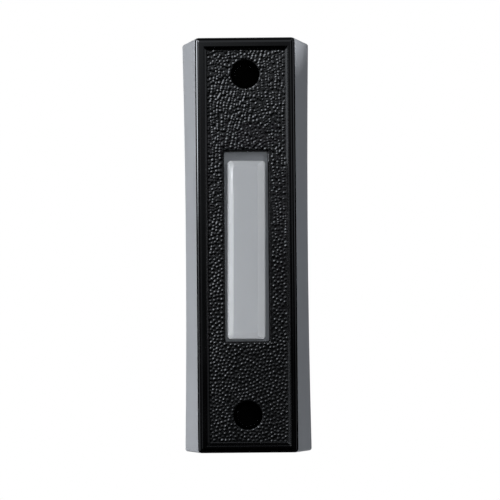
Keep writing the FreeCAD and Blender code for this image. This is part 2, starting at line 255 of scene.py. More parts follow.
def clouded(tree, shader, mask, shades, roughs, height, depth):
    # the mask mixes two shades and two roughnesses, and the height gives the relief
    ramp = addNode(tree, "ShaderNodeValToRGB", {"Fac": mask})
    for stop, place, shade in zip(ramp.color_ramp.elements, finish["maskRange"], shades):
        stop.position = place
        stop.color = (*shade, 1)
    start, end = finish["maskRange"]
    rough = addNode(tree, "ShaderNodeMapRange", {
        "Value": mask, "From Min": start, "From Max": end, "To Min": roughs[0], "To Max": roughs[1],
    })
    bump = addNode(tree, "ShaderNodeBump", {"Height": height, "Distance": depth * mm})
    fill(tree, shader, {"Base Color": ramp, "Roughness": rough, "Normal": bump})


def placeEffect(tree, group, values):
    effect = tree.nodes.new("ShaderNodeGroup")
    effect.node_tree = group
    fill(tree, effect, values)
    return effect.outputs


def plasticFinish(name, shades, rough, relief=0.0006, specular=0.5, fine=5200.0, cloud=90.0):
    material, tree, shader = newMaterial(name, {"Specular IOR Level": specular})
    skin = placeEffect(tree, mouldedSkin, {"Fine scale": fine, "Cloud scale": cloud})
    roughs = [rough + change for change in finish["plasticSpread"]]
    clouded(tree, shader, skin["Cloud"], shades, roughs, skin["Height"], relief)
    return material


def metalFinish(name, dull, bright, rough, stretch=1.0):
    material, tree, shader = newMaterial(name, {"Metallic": 1.0})
    drawn = placeEffect(tree, drawnMetal, {"Stretch": stretch})
    roughs = [rough + change for change in finish["metalSpread"]]
    shades = (dull, bright)
    clouded(tree, shader, drawn["Tarnish"], shades, roughs, drawn["Height"], finish["metalRelief"])
    return material


def translucentFinish(name, shades, specular=0.14, glow=None):
    material = plasticFinish(name, shades, 0.42, specular=specular)
    tree = material.node_tree
    fill(tree, tree.nodes["Principled BSDF"], {
        "Subsurface Weight": 1.0, "Subsurface Radius": (1.0, 1.0, 1.0),
        "Subsurface Scale": finish["scatter"] * mm, **(glow or {}),
    })
    return material


caseShades = (0.391, 0.408, 0.435), (0.414, 0.431, 0.459)
caseGrey = plasticFinish("caseGrey", caseShades, 0.5, relief=0.004, specular=0.3)
plateBlack = plasticFinish("plateBlack", deepBlack, 0.08)
edgeBlack = plasticFinish("edgeBlack", deepBlack, 0.08, specular=1.0)
wallBlack = plasticFinish("wallBlack", softBlack, 0.25, specular=0.13)
grainBlack = plasticFinish("grainBlack", softBlack, 0.18)
cupShade = plasticFinish("cupShade", softBlack, 0.9, specular=0.0)

barWhite = translucentFinish("barWhite", milkWhite)
barShine = translucentFinish("barShine", milkWhite, specular=1.0)
# painted shade: darker copies of the bar's white, for the flat front over the hollow lamp room and for the
# left edge
barFlatShaded = translucentFinish("barFlatShaded", ((0.738, 0.762, 0.79), (0.753, 0.776, 0.803)))
barEdgeShaded = translucentFinish("barEdgeShaded", ((0.55, 0.567, 0.6), (0.565, 0.58, 0.614)))
# the ledge's darker shades are painted shade in the gap round the bar, and its glow is painted light that
# comes through the bar into that gap
ledgeGlow = {"Emission Color": (0.86, 0.93, 1.0, 1), "Emission Strength": 0.055}
barLedgeShadeGlow = translucentFinish("barLedgeShadeGlow", ((0.3, 0.31, 0.33), (0.32, 0.33, 0.35)), glow=ledgeGlow)

boardBrown = plasticFinish(
    "boardBrown", ((0.085, 0.034, 0.013), (0.14, 0.062, 0.026)), 0.42, 0.006, fine=1800.0, cloud=260.0
)
rubberDark = plasticFinish(
    "rubberDark", ((0.018, 0.018, 0.019), (0.03, 0.03, 0.031)), 0.75, 0.006, specular=0.3, fine=2600.0
)
bronze = metalFinish("bronze", (0.50, 0.29, 0.13), (0.68, 0.42, 0.21), 0.3, stretch=12.0)
brass = metalFinish("brass", (0.58, 0.40, 0.14), (0.78, 0.58, 0.25), 0.28, stretch=12.0)
silver = metalFinish("silver", (0.72, 0.71, 0.68), (0.88, 0.87, 0.84), 0.22)
zinc = metalFinish("zinc", (0.52, 0.53, 0.54), (0.72, 0.73, 0.74), 0.3)
springSteel = metalFinish("springSteel", (0.34, 0.34, 0.35), (0.52, 0.52, 0.53), 0.25)
tinned = metalFinish("tinned", (0.55, 0.55, 0.54), (0.74, 0.74, 0.72), 0.3)
glass = newMaterial("lampGlass", {
    "Base Color": (0.97, 0.98, 0.97, 1), "Roughness": 0.03, "Transmission Weight": 1.0,
})[0]
print("finishes made")


# Face plate

plate = {
    "edgeRound": 1.0,       # rounding of the rim's outer edge
    "edgeSteps": 8,
    "cornerRadius": 0.85,
    "skirt": 1.2,
    "rimWidth": 1.8,
    "recessDepth": 0.55,
    "draft": 0.6,
    "recessShift": (0.2, -0.27),
    "panelThickness": 1.95,
    "plugInset": 1.7,
    "openingWidth": 9.34,
    "openingHeight": 40.6,
    "openingDrop": 0.4,     # from the middle of the plate down to the middle of the opening
    "openingCorner": 0.4,
    "lip": 0.3,
    "screwSpacing": 73.0,
    "screwHeadHole": 6.2,
    "screwHole": 4.7,
    "holeSink": 0.02,       # the holes' edges lie this much below the panel's face
    "seatDepth": 2.8,       # from the panel's face to the seat of the screw's head
    "seatEdge": 0.1,
    "cupWall": 0.8,
    "cupFloor": 1.0,
    "cellX": 0.126,
    "cellZ": 0.132,
    "crease": 35,
    "cupGloss": 0.6,        # the cups have no gloss below this depth
    "seamGloss": 0.27,      # nor has the seam round the plate, from this depth on
    "seamWidth": 0.4,
    "edgeBand": 0.5,        # width of the rim's glossier long edges
    "grainInset": 0.3,      # from the rim to where the grain's own finish starts
}

grain = {
    "seed": 11,
    "stringPitch": 0.66,    # between neighbouring strings of pebbles
    "pitchShares": (1.0, 0.86, 0.74),       # ever closer strings fill what is left free
    "stringReach": (1.2, 6.5),
    "looseReach": 0.75,     # by how much shorter the strings are where they lose their order
    "startScatter": 0.15,
    "ownRoom": 0.92,        # share of the pitch that a growing string keeps free
    "pebblePitch": 0.60,    # along a string
    "pitchScatter": (0.92, 1.1),
    "firstPebble": (0.1, 0.5),
    "offString": (0.06, 0.03),              # scatter of the pebbles across and along their string
    "spacing": 0.76,        # between the loose pebbles lower down
    "spacingShares": (0.95, 0.85, 0.75),
    "darts": 9000,
    "pushes": 14,           # times that the loose pebbles push each other apart
    "pushRoom": 1.04,       # share of the spacing that they push for
    "pushPart": 0.22,
    "width": 0.72,
    "length": 0.76,
    "stretches": (0.75, 0.9, 1.0, 1.15, 1.7),
    "odds": (0.2, 0.3, 0.25, 0.17, 0.08),
    "widthScatter": (0.8, 1.15),
    "heightScatter": (0.55, 1.2),
    "turnScatter": 0.2,
    "looseWidths": (0.85, 1.12),
    "looseLengths": (1.0, 1.3),
    "looseHeights": (0.7, 1.25),
    "looseTurn": (-0.35, 0.3),              # and its scatter
    "least": 0.72,          # share of the width that the pebbles have where the grain is thin
    "fullness": (0.5, 60, 22),              # in the middle, and how far up and to the left it grows by 1
    "height": 0.095,
    "blunt": 0.5,           # pebbles are blunter up and to the left, over these heights and places
    "bluntHeights": (8, 28),
    "bluntPlaces": (-4, 4),
    "looseOver": (-4, 20),  # depths below the middle over which the strings lose their order
    "sway": ((0.28, 5.5), (0.22, 2.4)),     # turn and wave of the strings' bends
    "looseSway": (0.6, 1.6),
    "fan": (-1.2, -0.4, 4.2),               # the strings spread from here, about here, this far
    "fanHeights": ((-9, 6.5, 0.15), (5, 4.0, -0.12)),   # from the upper hole, spread and turn
    "fieldCells": (90, 360),
    "skin": (0.008, 0.45),  # height and wave of the fine unevenness
    "step": 0.16,
    "stringRoom": 0.12,     # least distance from the edges of the floor
    "looseRoom": 0.2,
    "edgeFade": 0.22,
    "onWall": (0.14, 0.42), # how far the grain climbs the recess's wall, to the left and right
    "endRoom": 0.5,         # and how much less so at the lower end
    "rightRoom": 0.55,      # bare strip to the right of the opening
    "stringsEnd": (0.0, 3.5),               # height where the strings end, and its scatter
}

noiseCells = 64
noiseStart = 20             # cells from the table's corner to the plate's middle
tiny = 1e-9

plateLow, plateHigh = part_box("face_plate")
plateHalfX = plateHigh.x / mm
plateHalfZ = plateHigh.z / mm
rimDepth = plateLow.y / mm
skirtBack = rimDepth + plate["skirt"]
panelFace = rimDepth + plate["recessDepth"]
panelBack = panelFace + plate["panelThickness"]
holeZ = plate["screwSpacing"] / 2
holeRadius = plate["screwHeadHole"] / 2
openX = plate["openingWidth"] / 2
openZ = plate["openingHeight"] / 2
openDrop = plate["openingDrop"]
floorEdge = plate["rimWidth"] + plate["draft"]
shiftX, shiftZ = plate["recessShift"]


def share(value, start, end):
    # 0 up to the start, 1 from the end on
    return np.clip((value - start) / (end - start), 0, 1)


def smoothStep(value, start, end):
    t = share(value, start, end)
    return t * t * (3 - 2 * t)


def edgeProfile():
    # (distance from the plate's edge, depth below the rim's face) over the outer rounding
    size = plate["edgeRound"]
    points = []
    for step in range(plate["edgeSteps"] + 1):
        turn = step / plate["edgeSteps"] * pi / 2
        points.append((size * (1 - cos(turn)), size * (1 - sin(turn))))
    return np.array(points + [(size + 0.08, 0.0)])


def recessProfile():
    # the same over the recess's wall, for a recess in the plate's middle
    rim, deep, draft = plate["rimWidth"], plate["recessDepth"], plate["draft"]
    crest = [(-0.2, 0.0), (-0.12, 0.0), (-0.04, 0.012), (0.03, 0.045), (0.1, 0.1)]
    slope = [(draft * 0.45, deep * 0.45), (draft * 0.72, deep * 0.75)]
    foot = [(draft - 0.02, deep - 0.05), (draft + 0.1, deep)]
    return np.array([(rim + out, depth) for out, depth in crest + slope + foot])


def halfLines(half, opening, cell, recessShift):
    # lines from the plate's edge to its middle: close ones over the rim, the lip's, and even ones between
    starts = [*(half - edgeProfile()[:, 0]), *(half - recessProfile()[:, 0] + recessShift)]
    lipLines = [opening + plate["lip"] * part for part in (1, 0.75, 0.5, 0.25, 0)]
    stops = (starts[-1], lipLines[0])
    even = list(np.linspace(*stops, ceil((stops[0] - stops[1]) / cell) + 1))[1:-1]
    inner = list(np.linspace(opening, 0, ceil(opening / cell) + 1))[1:]
    return starts + even + lipLines + inner


def gridLines(half, opening, openShift, recessShift, cell):
    # the middles of the opening and of the recess are moved up by their shifts
    above = halfLines(half, opening + openShift, cell, recessShift)
    below = halfLines(half, opening - openShift, cell, -recessShift)
    return np.array([-line for line in below] + above[-2::-1])


def smoothNoise(x, z, cell, random):
    # seeded noise between -1 and 1 whose waves are about one cell across
    table = random.uniform(-1, 1, (noiseCells, noiseCells))
    u, v = x / cell + noiseStart, z / cell + noiseStart
    col, row = np.floor(u).astype(int), np.floor(v).astype(int)
    fu, fv = u - col, v - row
    fu, fv = fu * fu * (3 - 2 * fu), fv * fv * (3 - 2 * fv)

    def pick(a, b):
        return table[(col + a) % noiseCells, (row + b) % noiseCells]

    low = pick(0, 0) * (1 - fu) + pick(1, 0) * fu
    high = pick(0, 1) * (1 - fu) + pick(1, 1) * fu
    return low * (1 - fv) + high * fv


def looseness(z):
    return share(-z, *grain["looseOver"])


def fieldTable(random):
    # direction of the grain, as an angle from straight down, on a fine table
    columns, rows = grain["fieldCells"]
    xs = np.linspace(-plateHalfX, plateHalfX, columns)
    zs = np.linspace(-plateHalfZ, plateHalfZ, rows)
    x, z = np.meshgrid(xs, zs, indexing="ij")
    angle = sum(turn * smoothNoise(x, z, wave, random) for turn, wave in grain["sway"])
    start, middle, reach = grain["fan"]
    fan = (x - start) * np.exp(-(((x - middle) / reach) ** 2))
    angle += fan * sum(
        turn * np.exp(-((z - (holeZ + up)) / over) ** 2) for up, over, turn in grain["fanHeights"]
    )
    turn, wave = grain["looseSway"]
    angle += looseness(z) * turn * smoothNoise(x, z, wave, random)
    return xs, zs, angle


def onFloor(x, z, gap):
    # true where a point of the recessed floor is at least the gap from every edge
    edge = floorEdge + gap - grain["onWall"][int(x > 0)]
    endZ = plateHalfZ - edge - grain["endRoom"] * (z < 0)
    if abs(x - shiftX) > plateHalfX - edge or abs(z - shiftZ) > endZ:
        return False
    around = plate["lip"] + gap
    bare = around + grain["rightRoom"] * (x > 0)
    if abs(x) < openX + bare and abs(z + openDrop) < openZ + around:
        return False
    return x * x + (abs(z) - holeZ) ** 2 > (holeRadius + gap) ** 2


def growStrings(random):
    # lines along the grain's direction that keep their distance from each other
    xs, zs, angle = fieldTable(random)
    pitch, step, room = grain["stringPitch"], grain["step"], grain["stringRoom"]
    scatter, shorter = grain["startScatter"], grain["looseReach"]
    near = {}

    def heading(x, z):
        col = min(int((x - xs[0]) / (xs[1] - xs[0])), len(xs) - 1)
        row = min(int((z - zs[0]) / (zs[1] - zs[0])), len(zs) - 1)
        return angle[col, row]

    def isFree(x, z, gap):
        col, row = int(x // pitch), int(z // pitch)
        for a in (col - 1, col, col + 1):
            for b in (row - 1, row, row + 1):
                for px, pz in near.get((a, b), ()):
                    if (px - x) ** 2 + (pz - z) ** 2 < gap * gap:
                        return False
        return True

    halfX, halfZ = plateHalfX - floorEdge, plateHalfZ - floorEdge
    spots = [
        (x, z)
        for x in np.arange(-halfX, halfX, pitch / 2)
        for z in np.arange(-halfZ, halfZ, pitch / 2)
    ]
    strings = []
    for tight in grain["pitchShares"]:
        gap = pitch * tight
        for index in random.permutation(len(spots)):
            x0, z0 = spots[index]
            x0 += random.uniform(-scatter, scatter)
            z0 += random.uniform(-scatter, scatter)
            if not onFloor(x0, z0, room) or not isFree(x0, z0, gap):
                continue
            reach = random.uniform(*grain["stringReach"]) * (1 - shorter * looseness(z0))
            line = [(x0, z0)]
            for way in (1, -1):
                x, z = x0, z0
                for _ in range(int(reach / step)):
                    turn = heading(x, z)
                    x += way * step * sin(turn)
                    z -= way * step * cos(turn)
                    if not onFloor(x, z, room) or not isFree(x, z, gap * grain["ownRoom"]):
                        break
                    line.insert(len(line) if way == 1 else 0, (x, z))
            for px, pz in line:
                near.setdefault((int(px // pitch), int(pz // pitch)), []).append((px, pz))
            strings.append(line)
    return strings, heading


def fullSize(x, z):
    # share of the full size: all of it where the grain is full, up and to the left
    middle, up, left = grain["fullness"]
    fullness = min(max(middle + z / up - x / left, 0), 1)
    return grain["least"] + (1 - grain["least"]) * fullness


def strungPebbles(random):
    # pebbles one after another along each string: place, direction, half axes and height
    strings, heading = growStrings(random)
    stringsEnd, endScatter = grain["stringsEnd"]
    offAcross, offAlong = grain["offString"]
    pebbles = []
    for line in strings:
        along = random.uniform(*grain["firstPebble"]) * grain["pebblePitch"]
        length = (len(line) - 1) * grain["step"]
        while along <= length:
            x, z = line[min(int(along / grain["step"]), len(line) - 1)]
            if z < stringsEnd + random.normal(0, endScatter):
                break
            x += random.normal(0, offAcross)
            z += random.normal(0, offAlong)
            size = fullSize(x, z)
            stretch = random.choice(grain["stretches"], p=grain["odds"])
            wide = grain["width"] / 2 * size * random.uniform(*grain["widthScatter"])
            long = grain["length"] / 2 * size * stretch
            tall = grain["height"] * size * random.uniform(*grain["heightScatter"])
            turn = heading(x, z) + random.normal(0, grain["turnScatter"])
            pebbles.append((x, z, turn, wide, long, tall))
            along += grain["pebblePitch"] * stretch * random.uniform(*grain["pitchScatter"])
    return pebbles


def loosePebbles(random, strung):
    # evenly strewn pebbles that fill what the strings leave free
    halfX, halfZ = plateHalfX - floorEdge, plateHalfZ - floorEdge
    room, spacing = grain["looseRoom"], grain["spacing"]
    places = np.array([pebble[:2] for pebble in strung])
    fixed = len(places)
    for part in grain["spacingShares"]:
        for dart in random.uniform((-halfX, -halfZ), (halfX, halfZ), (grain["darts"], 2)):
            if not onFloor(*dart, room):
                continue
            if (np.hypot(*(places - dart).T) > spacing * part).all():
                places = np.vstack((places, dart))
    for _ in range(grain["pushes"]):
        apart = places[:, None, :] - places[None, :, :]
        far = np.hypot(apart[..., 0], apart[..., 1]) + tiny
        push = np.clip(spacing * grain["pushRoom"] - far, 0, None) * (far > 1e-6)
        moves = (apart / far[..., None] * push[..., None]).sum(axis=1) * grain["pushPart"]
        for index in range(fixed, len(places)):
            x, z = places[index] + moves[index]
            if onFloor(x, z, room):
                places[index] = x, z
    pebbles = []
    for x, z in places[fixed:]:
        size = fullSize(x, z)
        wide = grain["width"] / 2 * size * random.uniform(*grain["looseWidths"])
        tall = grain["height"] * size * random.uniform(*grain["looseHeights"])
        turn = random.normal(*grain["looseTurn"])
        pebbles.append((x, z, turn, wide, wide * random.uniform(*grain["looseLengths"]), tall))
    return pebbles


def grainHeight(xLines, zLines):
    random = np.random.default_rng(grain["seed"])
    pebbles = strungPebbles(random)
    pebbles += loosePebbles(random, pebbles)
    height = np.zeros((len(xLines), len(zLines)))
    for x, z, turn, wide, long, tall in pebbles:
        reach = max(wide, long)
        a, b = np.searchsorted(xLines, (x - reach, x + reach))
        c, d = np.searchsorted(zLines, (z - reach, z + reach))
        dx = xLines[a:b, None] - x
        dz = zLines[None, c:d] - z
        across = (dx * cos(turn) + dz * sin(turn)) / wide
        down = (dx * sin(turn) - dz * cos(turn)) / long
        upLeft = share(z, *grain["bluntHeights"]) * share(-x, *grain["bluntPlaces"])
        dome = tall * np.clip(1 - (across**2 + down**2) ** (1 + grain["blunt"] * upLeft), 0, None)
        height[a:b, c:d] = np.maximum(height[a:b, c:d], dome)
    x, z = np.meshgrid(xLines, zLines, indexing="ij")
    rough, wave = grain["skin"]
    height += rough * smoothNoise(x, z, wave, random)
    print("grain:", len(pebbles), "pebbles")
    return height


def faceDepth(x, z, fromOpening, fromHole, height):
    # depth of the net's points below the rim's face
    lip = plate["lip"]
    fromEdge = np.minimum(plateHalfX - abs(x), plateHalfZ - abs(z))
    intoRecess = np.minimum(plateHalfX - abs(x - shiftX), plateHalfZ - abs(z - shiftZ))
    depth = np.interp(fromEdge, *edgeProfile().T) + np.interp(intoRecess, *recessProfile().T)
    depth += lip * np.clip(1 - fromOpening / lip, 0, 1) ** 1.5
    onWall = intoRecess - floorEdge + np.where(x > 0, *grain["onWall"][::-1])
    clear = np.minimum(np.minimum(onWall, fromOpening - lip * 0.8), fromHole + 0.1)
    return depth - height * smoothStep(clear, 0.0, grain["edgeFade"])


def roundCorners(x, z, fromOpening):
    # the net's points, with the corners of the plate and of the opening rounded
    radius = plate["cornerRadius"]
    a = np.clip((abs(x) - plateHalfX + radius) / radius, 0, 1)
    b = np.clip((abs(z) - plateHalfZ + radius) / radius, 0, 1)
    atCorner = (a > 0) & (b > 0)
    arcX = plateHalfX - radius + radius * a * np.sqrt(1 - b * b / 2)
    arcZ = plateHalfZ - radius + radius * b * np.sqrt(1 - a * a / 2)
    px = np.where(atCorner, np.sign(x) * arcX, x)
    pz = np.where(atCorner, np.sign(z) * arcZ, z)

    radius, lip, level = plate["openingCorner"], plate["lip"], z + openDrop
    ring = radius + fromOpening
    s = (abs(x) - openX + radius) / np.where(ring > 0, ring, 1)
    t = (abs(level) - openZ + radius) / np.where(ring > 0, ring, 1)
    atCorner = (s >= 0) & (t >= 0) & (fromOpening > -1e-6) & (fromOpening < lip)
    part = np.clip(1 - fromOpening / lip, 0, 1)
    length = np.maximum(np.hypot(s, t), tiny)
    arcX = openX - radius + ring * s / length
    arcZ = openZ - radius + ring * t / length
    px = np.where(atCorner, np.sign(x) * (abs(x) * (1 - part) + arcX * part), px)
    pz = np.where(atCorner, np.sign(level) * (abs(level) * (1 - part) + arcZ * part) - openDrop, pz)
    return px, pz


def cornersOf(cells):
    # the net's points that belong to any of the cells
    wide, high = cells.shape
    points = np.zeros((wide + 1, high + 1), bool)
    for a in (0, 1):
        for b in (0, 1):
            points[a:a + wide, b:b + high] |= cells
    return points


def freeEdges(kept, index):
    # each edge between a kept cell and a missing one, turned so that its wall faces outwards
    padded = np.pad(kept, 1)
    acrossX = np.argwhere(padded[1:, 1:-1] != padded[:-1, 1:-1])
    acrossZ = np.argwhere(padded[1:-1, 1:] != padded[1:-1, :-1])
    edges = [(a, b, index[a, b], index[a, b + 1]) for a, b in acrossX]
    edges += [(a, b, index[a + 1, b], index[a, b]) for a, b in acrossZ]
    return [(near, far) if padded[a + 1, b + 1] else (far, near) for a, b, near, far in edges]


def cupProfile():
    # (radius, depth) down the inside of a screw's cup and up its outside
    seat = panelFace + plate["seatDepth"]
    back = seat + plate["cupFloor"]
    bore = plate["screwHole"] / 2
    outside = holeRadius + plate["cupWall"]
    soft = plate["seatEdge"]
    return [
        (holeRadius - 0.02, panelFace + 0.06), (holeRadius - 0.03, panelFace + 0.6),
        (holeRadius - 0.03, seat - 0.08), (holeRadius - 0.1, seat), (bore + soft, seat),
        (bore + soft * 0.3, seat + soft * 0.3), (bore, seat + soft), (bore, back),
        (outside - 0.1, back), (outside, back - 0.1), (outside, panelBack),
    ]


def wallLevels(corner, cup):
    # the points behind one point of a free edge
    x, _, z = corner
    fromHole = np.hypot(x, abs(z) - holeZ)
    if fromHole < holeRadius + 0.1:
        side = holeZ if z > 0 else -holeZ
        return [[x / fromHole * r, y, side + (z - side) / fromHole * r] for r, y in cup]
    onSkirt = max(abs(x) - openX, abs(z + openDrop) - openZ) > 1
    return [[x, skirtBack if onSkirt else panelBack, z]]


def addWalls(points, faces, edges):
    # walls behind the free edges: the skirt, the opening and the screws' cups
    cup = cupProfile()
    chains = {}
    for first, last in edges:
        for corner in (first, last):
            if corner not in chains:
                levels = wallLevels(points[corner], cup)
                chains[corner] = [corner, *range(len(points), len(points) + len(levels))]
                points += levels
        near, far = chains[first], chains[last]
        for level in range(len(near) - 1):
            faces.append([far[level], near[level], near[level + 1], far[level + 1]])


def addPlug(points, faces):
    # the plug that fills the case's rebate
    halfX, halfZ = plateHalfX - plate["plugInset"], plateHalfZ - plate["plugInset"]
    start = len(points)
    for y in (skirtBack, panelBack):
        points += [[-halfX, y, -halfZ], [halfX, y, -halfZ], [halfX, y, halfZ], [-halfX, y, halfZ]]
    for side in range(4):
        after = (side + 1) % 4
        faces.append([start + side, start + after, start + 4 + after, start + 4 + side])


def isCrease(edge):
    # sharp edges are behind the panel's face or at the plate's outer side, so not in the grain
    middle = (edge.verts[0].co + edge.verts[1].co) / 2 / mm
    behind = min(corner.co.y for corner in edge.verts) > (panelFace + plate["holeSink"]) * mm
    aside = abs(middle.x) > plateHalfX - 0.01 or abs(middle.z) > plateHalfZ - 0.01
    if not (behind or aside) or len(edge.link_faces) != 2:
        return False
    return edge.calc_face_angle() > radians(plate["crease"])


def closeBacks(mesh):
    # fills the skirt's and the panel's backs, and returns how many edges are still open
    shell = bmesh.new()
    shell.from_mesh(mesh)
    for y in (skirtBack, panelBack):
        level = [
            e for e in shell.edges
            if len(e.link_faces) == 1 and all(abs(v.co.y - y * mm) < 1e-8 for v in e.verts)
        ]
        bmesh.ops.triangle_fill(shell, use_beauty=True, edges=level, normal=(0, 1, 0))
    bmesh.ops.recalc_face_normals(shell, faces=shell.faces)
    for face in shell.faces:
        face.smooth = True
    for edge in shell.edges:
        edge.smooth = not isCrease(edge)
    openEdges = sum(1 for e in shell.edges if len(e.link_faces) != 2)
    shell.to_mesh(mesh)
    shell.free()
    return openEdges


def makeFacePlate():
    xLines = gridLines(plateHalfX, openX, 0.0, shiftX, plate["cellX"])
    zLines = gridLines(plateHalfZ, openZ, -openDrop, shiftZ, plate["cellZ"])
    x, z = np.meshgrid(xLines, zLines, indexing="ij")
    fromOpening = np.maximum(abs(x) - openX, abs(z + openDrop) - openZ)
    fromHole = np.hypot(x, abs(z) - holeZ) - holeRadius
    depth = faceDepth(x, z, fromOpening, fromHole, grainHeight(xLines, zLines))
    px, pz = roundCorners(x, z, fromOpening)

    # cells over the opening and the two holes are left out
    middleX = (x[1:, 1:] + x[:-1, :-1]) / 2
    middleZ = (z[1:, 1:] + z[:-1, :-1]) / 2
    inOpening = (abs(middleX) < openX) & (abs(middleZ + openDrop) < openZ)
    inHole = np.hypot(middleX, abs(middleZ) - holeZ) < holeRadius
    kept = ~(inOpening | inHole)
    used = cornersOf(kept)
    onHole = used & cornersOf(inHole)
    shrink = holeRadius / np.maximum(fromHole + holeRadius, tiny)
    px = np.where(onHole, x * shrink, px)
    pz = np.where(onHole, np.sign(z) * (holeZ + (abs(z) - holeZ) * shrink), pz)
    depth = np.where(onHole, plate["recessDepth"] + plate["holeSink"], depth)

    index = np.full(x.shape, -1)
    index[used] = np.arange(used.sum())
    points = np.stack([px[used], rimDepth + depth[used], pz[used]], axis=1).tolist()
    i, j = np.nonzero(kept)
    cells = [index[i, j], index[i + 1, j], index[i + 1, j + 1], index[i, j + 1]]
    faces = np.stack(cells, axis=1).tolist()
    addWalls(points, faces, freeEdges(kept, index))
    addPlug(points, faces)
    mesh = bpy.data.meshes.new("facePlate")
    mesh.from_pydata((np.array(points) * mm).tolist(), [], faces)
    openEdges = closeBacks(mesh)
    print("face plate:", len(mesh.polygons), "faces,", openEdges, "open edges")
    return newObject("facePlate", mesh)


def paintPlate(mesh):
    # 1 deep in the cups and in the seam, 2 on the grain, 3 on the rim's long edges, and 4 on the
    # recess's right and lower walls
    for material in (cupShade, grainBlack, edgeBlack, wallBlack):
        mesh.materials.append(material)
    rim = plate["rimWidth"]
    wallMiddle = (rim + floorEdge) / 2
    wallReach = plate["draft"] / 2 + 0.1
    for face in mesh.polygons:
        x, y, z = face.center / mm
        acrossX = abs(x - shiftX) - plateHalfX
        acrossZ = abs(z - shiftZ) - plateHalfZ
        inCup = np.hypot(x, abs(z) - holeZ) < holeRadius + 0.01
        inSeam = max(abs(x) - plateHalfX, -z - plateHalfZ) > -plate["seamWidth"]
        onRight = acrossZ < -rim and abs(x - shiftX - plateHalfX + wallMiddle) < wallReach
        onLower = acrossX < -rim and abs(shiftZ - z - plateHalfZ + wallMiddle) < wallReach
        if inCup and y > panelFace + plate["cupGloss"] or inSeam and y > rimDepth + plate["seamGloss"]:
            face.material_index = 1
        elif onRight or onLower:
            face.material_index = 4
        elif max(acrossX, acrossZ) < -rim - plate["grainInset"]:
            face.material_index = 2
        elif abs(x) > plateHalfX - plate["edgeBand"]:
            face.material_index = 3


facePlate = makeFacePlate()
finishPiece(facePlate, plateBlack, "plate_black", "housing", "face_plate")
paintPlate(facePlate.data)


# Push bar

bar = {
    "width": 8.05,
    "height": 38.05,
    "rise": 1.85,
    "cornerRadius": 0.7,
    "cornerGrowth": 0.2,    # how much rounder the corners are on the flat front
    "edgeRound": 0.5,
    "edgeSteps": 6,
    "edgeTurn": 12.5,       # degrees for each step of the edge's rounding
    "seams": (0.02, 0.012), # depth of the crown's foot and of the rounding below it
    "crown": 0.35,
    # the crown's rings, from its flat part above 1 down to its edge at 0
    "crownSteps": (
        1.1, 1.07, 1.03, 1.0, 0.96, 0.92, 0.88, 0.84, 0.79, 0.74, 0.69, 0.64, 0.59, 0.54, 0.49,
        0.4, 0.2, 0.0,
    ),
    "sideBevel": 1.5,
    "endBevel": 4.2,
    "endFirst": 1.25,       # from the end to where the end's bevel goes over into a gentle slope
    "firstPart": 0.85,      # share of the crown's rings up to there
    "crownShift": 0.2,      # the flat front lies a little to the left
    "ridge": 0.1,           # softness of the crown's ridges, as a share of the bevel
    "stepTop": (6.0, 9.2),  # from the top end to where the left bevel is a step, and to where it is even
    "stepPlace": (0.2, 0.84),
    "stepWidth": 0.9,       # share of the half width over which the step fades out
    # places of the left side's extra points, as shares of its length from the top
    "leftPlaces": (0.012, 0.03, 0.05, 0.07, 0.09, 0.11, 0.13, 0.15, 0.17, 0.19, 0.22),
    "flangeWidth": 11.5,
    "flangeHeight": 43.0,
    "flangeThickness": 1.2,
    "flangeGap": 0.1,
    "flangeCorner": 0.8,
    "flangeEdge": 0.12,
    "flangeEnd": 15,        # points above and below this height go out to the flange's ends
    "skin": 1.4,
    "lampRoom": (5.4, 22.0),
    "springPocket": (5.4, 2.0),
    "springPitch": 29.2,
    "nib": (1.2, 3.0, 0.87),
    "nibPlace": (-5.0, 10.8),
    "nibOverlap": 0.2,
    "lean": 0.45,
    "drop": 0.75,           # below the opening's middle
    "crease": 33,
    "tilts": (-0.35, -0.4), # of the left bevel, which shines, and of the left edge, from here on
    "ledgeShadeReach": 0.6,      # how far the ledge's painted shade and painted glow go up the sides
}

past = 1.0                  # how far a cutting shape goes past what it cuts
barFace = panelFace - bar["rise"]
barShoulder = barFace + bar["crown"]
flangeFront = panelBack + bar["flangeGap"]
flangeBack = flangeFront + bar["flangeThickness"]


def crownHeight(t):
    soft = bar["ridge"]
    if t <= 1 - soft:
        return bar["crown"] * t
    if t >= 1 + soft:
        return bar["crown"]
    return bar["crown"] * (1 - (1 + soft - t) ** 2 / (4 * soft))


def barOutline(insetX, insetZ, radius):
    halfX, halfZ = bar["width"] / 2 - insetX, bar["height"] / 2 - insetZ
    points = roundedRing(halfX, halfZ, radius)
    side = len(points) // 2
    points[side:side] = [(-halfX, (halfZ - radius) * (1 - 2 * place)) for place in bar["leftPlaces"]]
    return points


def crownRing(t):
    # a ring of the bar's front, from its edge at 0 to its flat part at 1
    first = bar["firstPart"]
    edge = first * bar["edgeRound"]
    insetX = edge + (bar["sideBevel"] - edge) * t
    insetZ = edge + (bar["endFirst"] - edge) * min(t, first) / first
    insetZ += (bar["endBevel"] - bar["endFirst"]) * max(t - first, 0) / (1 - first)
    bevelEnd = (bar["width"] / 2 - insetX) * bar["stepWidth"]
    step = bar["crown"] * smoothStep(t, *bar["stepPlace"])
    ring = []
    for x, z in barOutline(insetX, insetZ, bar["cornerRadius"] + bar["cornerGrowth"] * t):
        stepped = 1 - smoothStep(bar["height"] / 2 - z, *bar["stepTop"])
        stepped *= smoothStep(-x, 0, bevelEnd) * (t < 1)
        lift = crownHeight(t) * (1 - stepped) + step * stepped
        ring.append((x - bar["crownShift"] * min(t, 1), z, -lift))
    return ring


def flangeRing(inset):
    outX = (bar["width"] - bar["flangeWidth"]) / 2 + inset
    outZ = (bar["height"] - bar["flangeHeight"]) / 2 + inset
    return [
        (x - outX * np.sign(x), z - outZ * np.sign(z) * (abs(z) > bar["flangeEnd"]))
        for x, z in barOutline(0, 0, bar["flangeCorner"])
    ]


